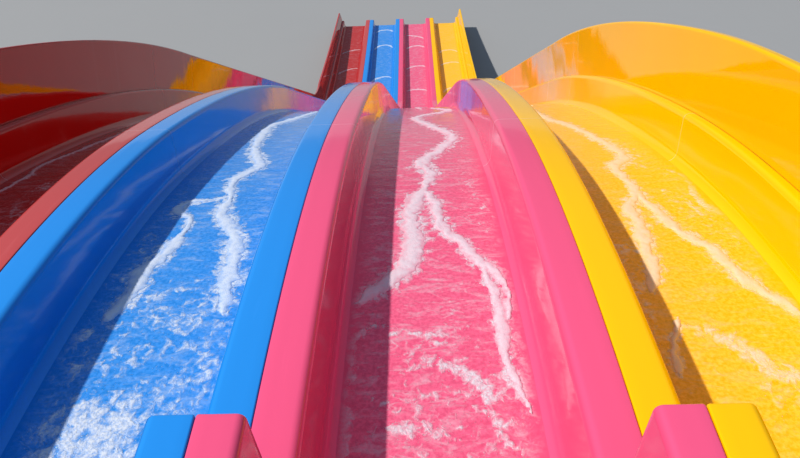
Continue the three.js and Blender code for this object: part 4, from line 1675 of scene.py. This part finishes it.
def deck_boards(mesh, low, high, joists, gap=0.006):
    """Grooved boards across the deck, screwed down on the joists."""
    count = round((high.y - low.y) / settings("steel").board)
    pitch = (high.y - low.y) / count
    outline = board_outline(pitch - gap, BOARD_THICK)
    level, screw = high.z - BOARD_THICK / 2, [(0.006, -0.002), (0.006, 0.0), (0.0045, 0.0008)]
    for number in range(count):
        y = low.y + pitch * (number + 0.5)
        bar_at(mesh, (low.x + 0.004, y, level), (high.x - 0.004, y, level), outline)
        for x in joists:
            for shift in (-0.032, 0.032):
                spot = Matrix.Translation((x, y + shift, high.z - 0.0004))
                lathe_at(mesh, spot, screw, 12, 2)


def deck_joists(mesh, low, high, joists):
    """Folded joists under the boards, their open sides outwards."""
    wall, half, rise = 0.008, settings("steel").joist / 2, (high.z - BOARD_THICK - low.z) / 2
    channel = [(-half, -rise), (half, -rise), (half, wall - rise), (wall - half, wall - rise),
               (wall - half, rise - wall), (half, rise - wall), (half, rise), (-half, rise)]
    for x in joists:
        shape = [(a if x < 0 else -a, b) for a, b in channel]
        bar_at(mesh, (x, low.y, low.z + rise), (x, high.y, low.z + rise), shape, kind=1)


def build_deck():
    """Grooved boards on folded joists."""
    mesh, joist = Mesh(), settings("steel").joist
    low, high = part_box("deck")
    joists = [low.x + joist / 2 + (high.x - low.x - joist) * n / 5 for n in range(6)]
    deck_boards(mesh, low, high, joists)
    deck_joists(mesh, low, high, joists)
    kit = [material_for(grit_board, "board"), *steel_kit()[:2]]
    hand_over(mesh.build("launch_deck", kit), "deck_board", "deck")


def rail_posts(mesh, spots, top):
    """Square posts with foot plates, at (x, y, foot height, way inward)."""
    post = settings("steel").post
    outline = rounded(post, post, 0.005)
    for x, y, foot, inward in spots:
        bar_at(mesh, (x, y, foot), (x, y, top), outline, (0.0, 1.0, 0.0))
        spot = Vector((x, y, foot + 0.004)) + Vector(inward) * 0.03
        size = (0.05 + 0.06 * abs(inward[0]), 0.05 + 0.06 * abs(inward[1]), 0.008)
        box_at(mesh, Matrix.Translation(spot), size, 0.001)
        hole = Vector((x, y, foot + 0.008)) + Vector(inward) * 0.06
        bolt_at(mesh, facing(hole, (0, 0, 1)), 0.008)


def balusters(mesh, start, end, heights):
    """Upright bars evenly spaced strictly between two posts."""
    steel = settings("steel")
    bays = math.ceil(math.dist(start, end) / steel.bar_pitch)
    for number in range(1, bays):
        share = number / bays
        x, y = (a + (b - a) * share for a, b in zip(start, end))
        tube_at(mesh, (x, y, heights[0]), (x, y, heights[1]), steel.baluster / 2, 12)


def build_rail(name, posts, stands):
    """A guard rail with two level rails along its stands, and balusters between them."""
    rail, mesh, clearance = settings("steel").rail, Mesh(), 0.12
    heights = (START_HEIGHT + clearance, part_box(name)[1].z - rail / 2)
    rail_posts(mesh, posts, heights[1])
    for z in heights:
        bar_at(mesh, (*stands[0], z), (*stands[-1], z), rounded(rail, rail, 0.01))
    for start, end in zip(stands, stands[1:]):
        balusters(mesh, start, end, heights)
    steel_piece(mesh, name)


def build_side_rail(side):
    """A side guard rail, past the deck and along the tubs."""
    post, name = settings("steel").post, f"guard_rail_{side}"
    low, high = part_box(name)
    x = (low.x + high.x) / 2
    inward = (1 if side == "left" else -1, 0, 0)
    back, front = low.y + post / 2, high.y - post / 2
    ends = [back, (back + TUB_BACK_Y) / 2, TUB_BACK_Y - post]
    posts = [(x, y, START_HEIGHT, inward) for y in ends]
    posts.append((x, front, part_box("tower_frame")[1].z, (0, 0, 0)))
    build_rail(name, posts, [(x, y) for y in (*ends, front)])


def build_rear_rail(side):
    """Half of the rear guard rail, beside the gap for the stair."""
    name = f"guard_rail_rear_{side}"
    low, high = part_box(name)
    y = (low.y + high.y) / 2
    inner, outer = (high.x, low.x) if side == "left" else (low.x, high.x)
    inner += (1 if outer > inner else -1) * settings("steel").post / 2
    middle = (inner + outer) / 2
    posts = [(x, y, START_HEIGHT, (0, 1, 0)) for x in (inner, middle)]
    build_rail(name, posts, [(x, y) for x in (inner, middle, outer)])


# Studio

def build_floor():
    """A wide plain floor, just under the base plates."""
    mesh, size, level = Mesh(), 120.0, -0.002
    corners = [(x * size, y * size, level) for x, y in ((-1, -1), (1, -1), (1, 1), (-1, 1))]
    mesh.add(corners, [(0, 1, 2, 3)])
    floor = mesh.build("studio_floor", [material_for(studio_floor, "floor")])


def build_lights():
    """One soft key light from the left and a sky that changes with height alone."""
    studio = settings("studio")
    lamp = bpy.data.lights.new("key_light", "SUN")
    lamp.energy = studio.sun
    lamp.angle = studio.sun_size
    lamp.color = (1.0, 0.97, 0.93)
    light = bpy.data.objects.new("key_light", lamp)
    rise, swing = studio.sun_height, studio.sun_swing
    source = Vector((-math.cos(rise) * math.cos(swing), math.cos(rise) * math.sin(swing),
                     math.sin(rise)))
    light.rotation_euler = (-source).to_track_quat("-Z", "Y").to_euler()
    bpy.context.scene.collection.objects.link(light)
    world = bpy.data.worlds.new("studio_sky")
    world.use_nodes = True
    tree = world.node_tree
    back = tree.nodes["Background"]
    toward = node(tree, "TexCoord").outputs["Generated"]
    rise = node(tree, "SeparateXYZ", {0: toward}).outputs["Z"]
    share = ranged(tree, rise, 0.0, 0.75)
    tree.links.new(blended(tree, share, tuple(studio.horizon), tuple(studio.zenith)),
                   back.inputs["Color"])
    back.inputs["Strength"].default_value = studio.sky
    bpy.context.scene.world = world


def build_camera():
    """The camera looks down the lanes from over the back of the tubs."""
    studio = settings("studio")
    data = bpy.data.cameras.new("camera")
    data.sensor_width = 36.0
    data.lens = studio.focal
    data.clip_end = 300.0
    camera = bpy.data.objects.new("camera", data)
    yaw, pitch, roll = studio.yaw, studio.pitch, studio.roll
    ahead = Vector((-math.sin(yaw) * math.cos(pitch), math.cos(yaw) * math.cos(pitch),
                    -math.sin(pitch)))
    right = Vector((math.cos(yaw), math.sin(yaw), 0.0))
    up = right.cross(ahead)
    side = right * math.cos(roll) + up * math.sin(roll)
    top = -right * math.sin(roll) + up * math.cos(roll)
    matrix = Matrix((side, top, -ahead)).transposed().to_4x4()
    matrix.translation = (
        studio.eye_aside, TUB_BACK_Y + studio.eye_ahead, START_HEIGHT + studio.eye_height
    )
    camera.matrix_world = matrix
    bpy.context.scene.collection.objects.link(camera)
    bpy.context.scene.camera = camera


# Operators and panel. An error in an operator's pieces stops the script

class SLIDE_OT_lanes(bpy.types.Operator):
    """Build the mouldings of the four lanes"""

    bl_idname = "slide.lanes"
    bl_label = "Lanes"
    bl_options = {"REGISTER", "UNDO"}

    def execute(self, context):
        for lane in range(len(LANES)):
            for section in SECTIONS:
                build_lane_piece(lane, section)
        return {"FINISHED"}


class SLIDE_OT_walls(bpy.types.Operator):
    """Build the tall outer walls"""

    bl_idname = "slide.walls"
    bl_label = "Outer walls"
    bl_options = {"REGISTER", "UNDO"}

    def execute(self, context):
        for side, sign, colour in SIDES:
            for section in WALL_SECTIONS:
                build_wall_piece(side, sign, colour, section)
        return {"FINISHED"}


class SLIDE_OT_joints(bpy.types.Operator):
    """Build the joint beads and bolted flanges"""

    bl_idname = "slide.joints"
    bl_label = "Joints"
    bl_options = {"REGISTER", "UNDO"}

    def execute(self, context):
        build_joints()
        return {"FINISHED"}


class SLIDE_OT_water(bpy.types.Operator):
    """Build the running water with its foam"""

    bl_idname = "slide.water"
    bl_label = "Running water"
    bl_options = {"REGISTER", "UNDO"}

    def execute(self, context):
        for lane in range(len(LANES)):
            build_film(lane)
            build_foam(lane)
        return {"FINISHED"}


class SLIDE_OT_portals(bpy.types.Operator):
    """Build the steel portals under the lanes"""

    bl_idname = "slide.portals"
    bl_label = "Portals"
    bl_options = {"REGISTER", "UNDO"}

    def execute(self, context):
        for number in range(1, PORTALS + 1):
            build_portal(number)
        return {"FINISHED"}


class SLIDE_OT_tower(bpy.types.Operator):
    """Build the launch tower's columns, frame and braces"""

    bl_idname = "slide.tower"
    bl_label = "Launch tower"
    bl_options = {"REGISTER", "UNDO"}

    def execute(self, context):
        build_tower_columns()
        build_tower_frame()
        build_braces()
        return {"FINISHED"}


class SLIDE_OT_deck(bpy.types.Operator):
    """Build the boarded launch deck"""

    bl_idname = "slide.deck"
    bl_label = "Deck"
    bl_options = {"REGISTER", "UNDO"}

    def execute(self, context):
        build_deck()
        return {"FINISHED"}


class SLIDE_OT_rails(bpy.types.Operator):
    """Build the guard rails"""

    bl_idname = "slide.rails"
    bl_label = "Guard rails"
    bl_options = {"REGISTER", "UNDO"}

    def execute(self, context):
        for side in ("left", "right"):
            build_side_rail(side)
            build_rear_rail(side)
        return {"FINISHED"}


class SLIDE_OT_stage(bpy.types.Operator):
    """Set up the floor, the lights and the camera"""

    bl_idname = "slide.stage"
    bl_label = "Studio"
    bl_options = {"REGISTER", "UNDO"}

    def execute(self, context):
        build_floor()
        build_lights()
        build_camera()
        context.scene.view_settings.view_transform = "Standard"
        context.scene.view_settings.look = "Medium High Contrast"
        return {"FINISHED"}


OPERATORS = (
    SLIDE_OT_lanes, SLIDE_OT_walls, SLIDE_OT_joints, SLIDE_OT_water, SLIDE_OT_portals,
    SLIDE_OT_tower, SLIDE_OT_deck, SLIDE_OT_rails, SLIDE_OT_stage,
)


class SLIDE_PT_panel(bpy.types.Panel):
    """The slide's tools and sizes"""

    bl_label = "Racer water slide"
    bl_space_type = "VIEW_3D"
    bl_region_type = "UI"
    bl_category = "Slide"

    def draw(self, context):
        for operator in OPERATORS:
            self.layout.operator(operator.bl_idname)
        for name, group in GROUPS.items():
            column = self.layout.box().column(align=True)
            column.label(text=group.__doc__)
            for key in group.__annotations__:
                column.prop(settings(name), key)


def register():
    """Registers the properties, the operators and the panel."""
    for name, group in GROUPS.items():
        bpy.utils.register_class(group)
        setattr(bpy.types.Scene, f"slide_{name}", PointerProperty(type=group))
    for operator in OPERATORS:
        bpy.utils.register_class(operator)
    bpy.utils.register_class(SLIDE_PT_panel)


def unregister():
    """Removes what register added."""
    bpy.utils.unregister_class(SLIDE_PT_panel)
    for operator in reversed(OPERATORS):
        bpy.utils.unregister_class(operator)
    for name, group in GROUPS.items():
        delattr(bpy.types.Scene, f"slide_{name}")
        bpy.utils.unregister_class(group)


def main():
    """Builds everything in order."""
    register()
    for operator in OPERATORS:
        group, name = operator.bl_idname.split(".")
        getattr(getattr(bpy.ops, group), name)()


if __name__ == "__main__":
    main()
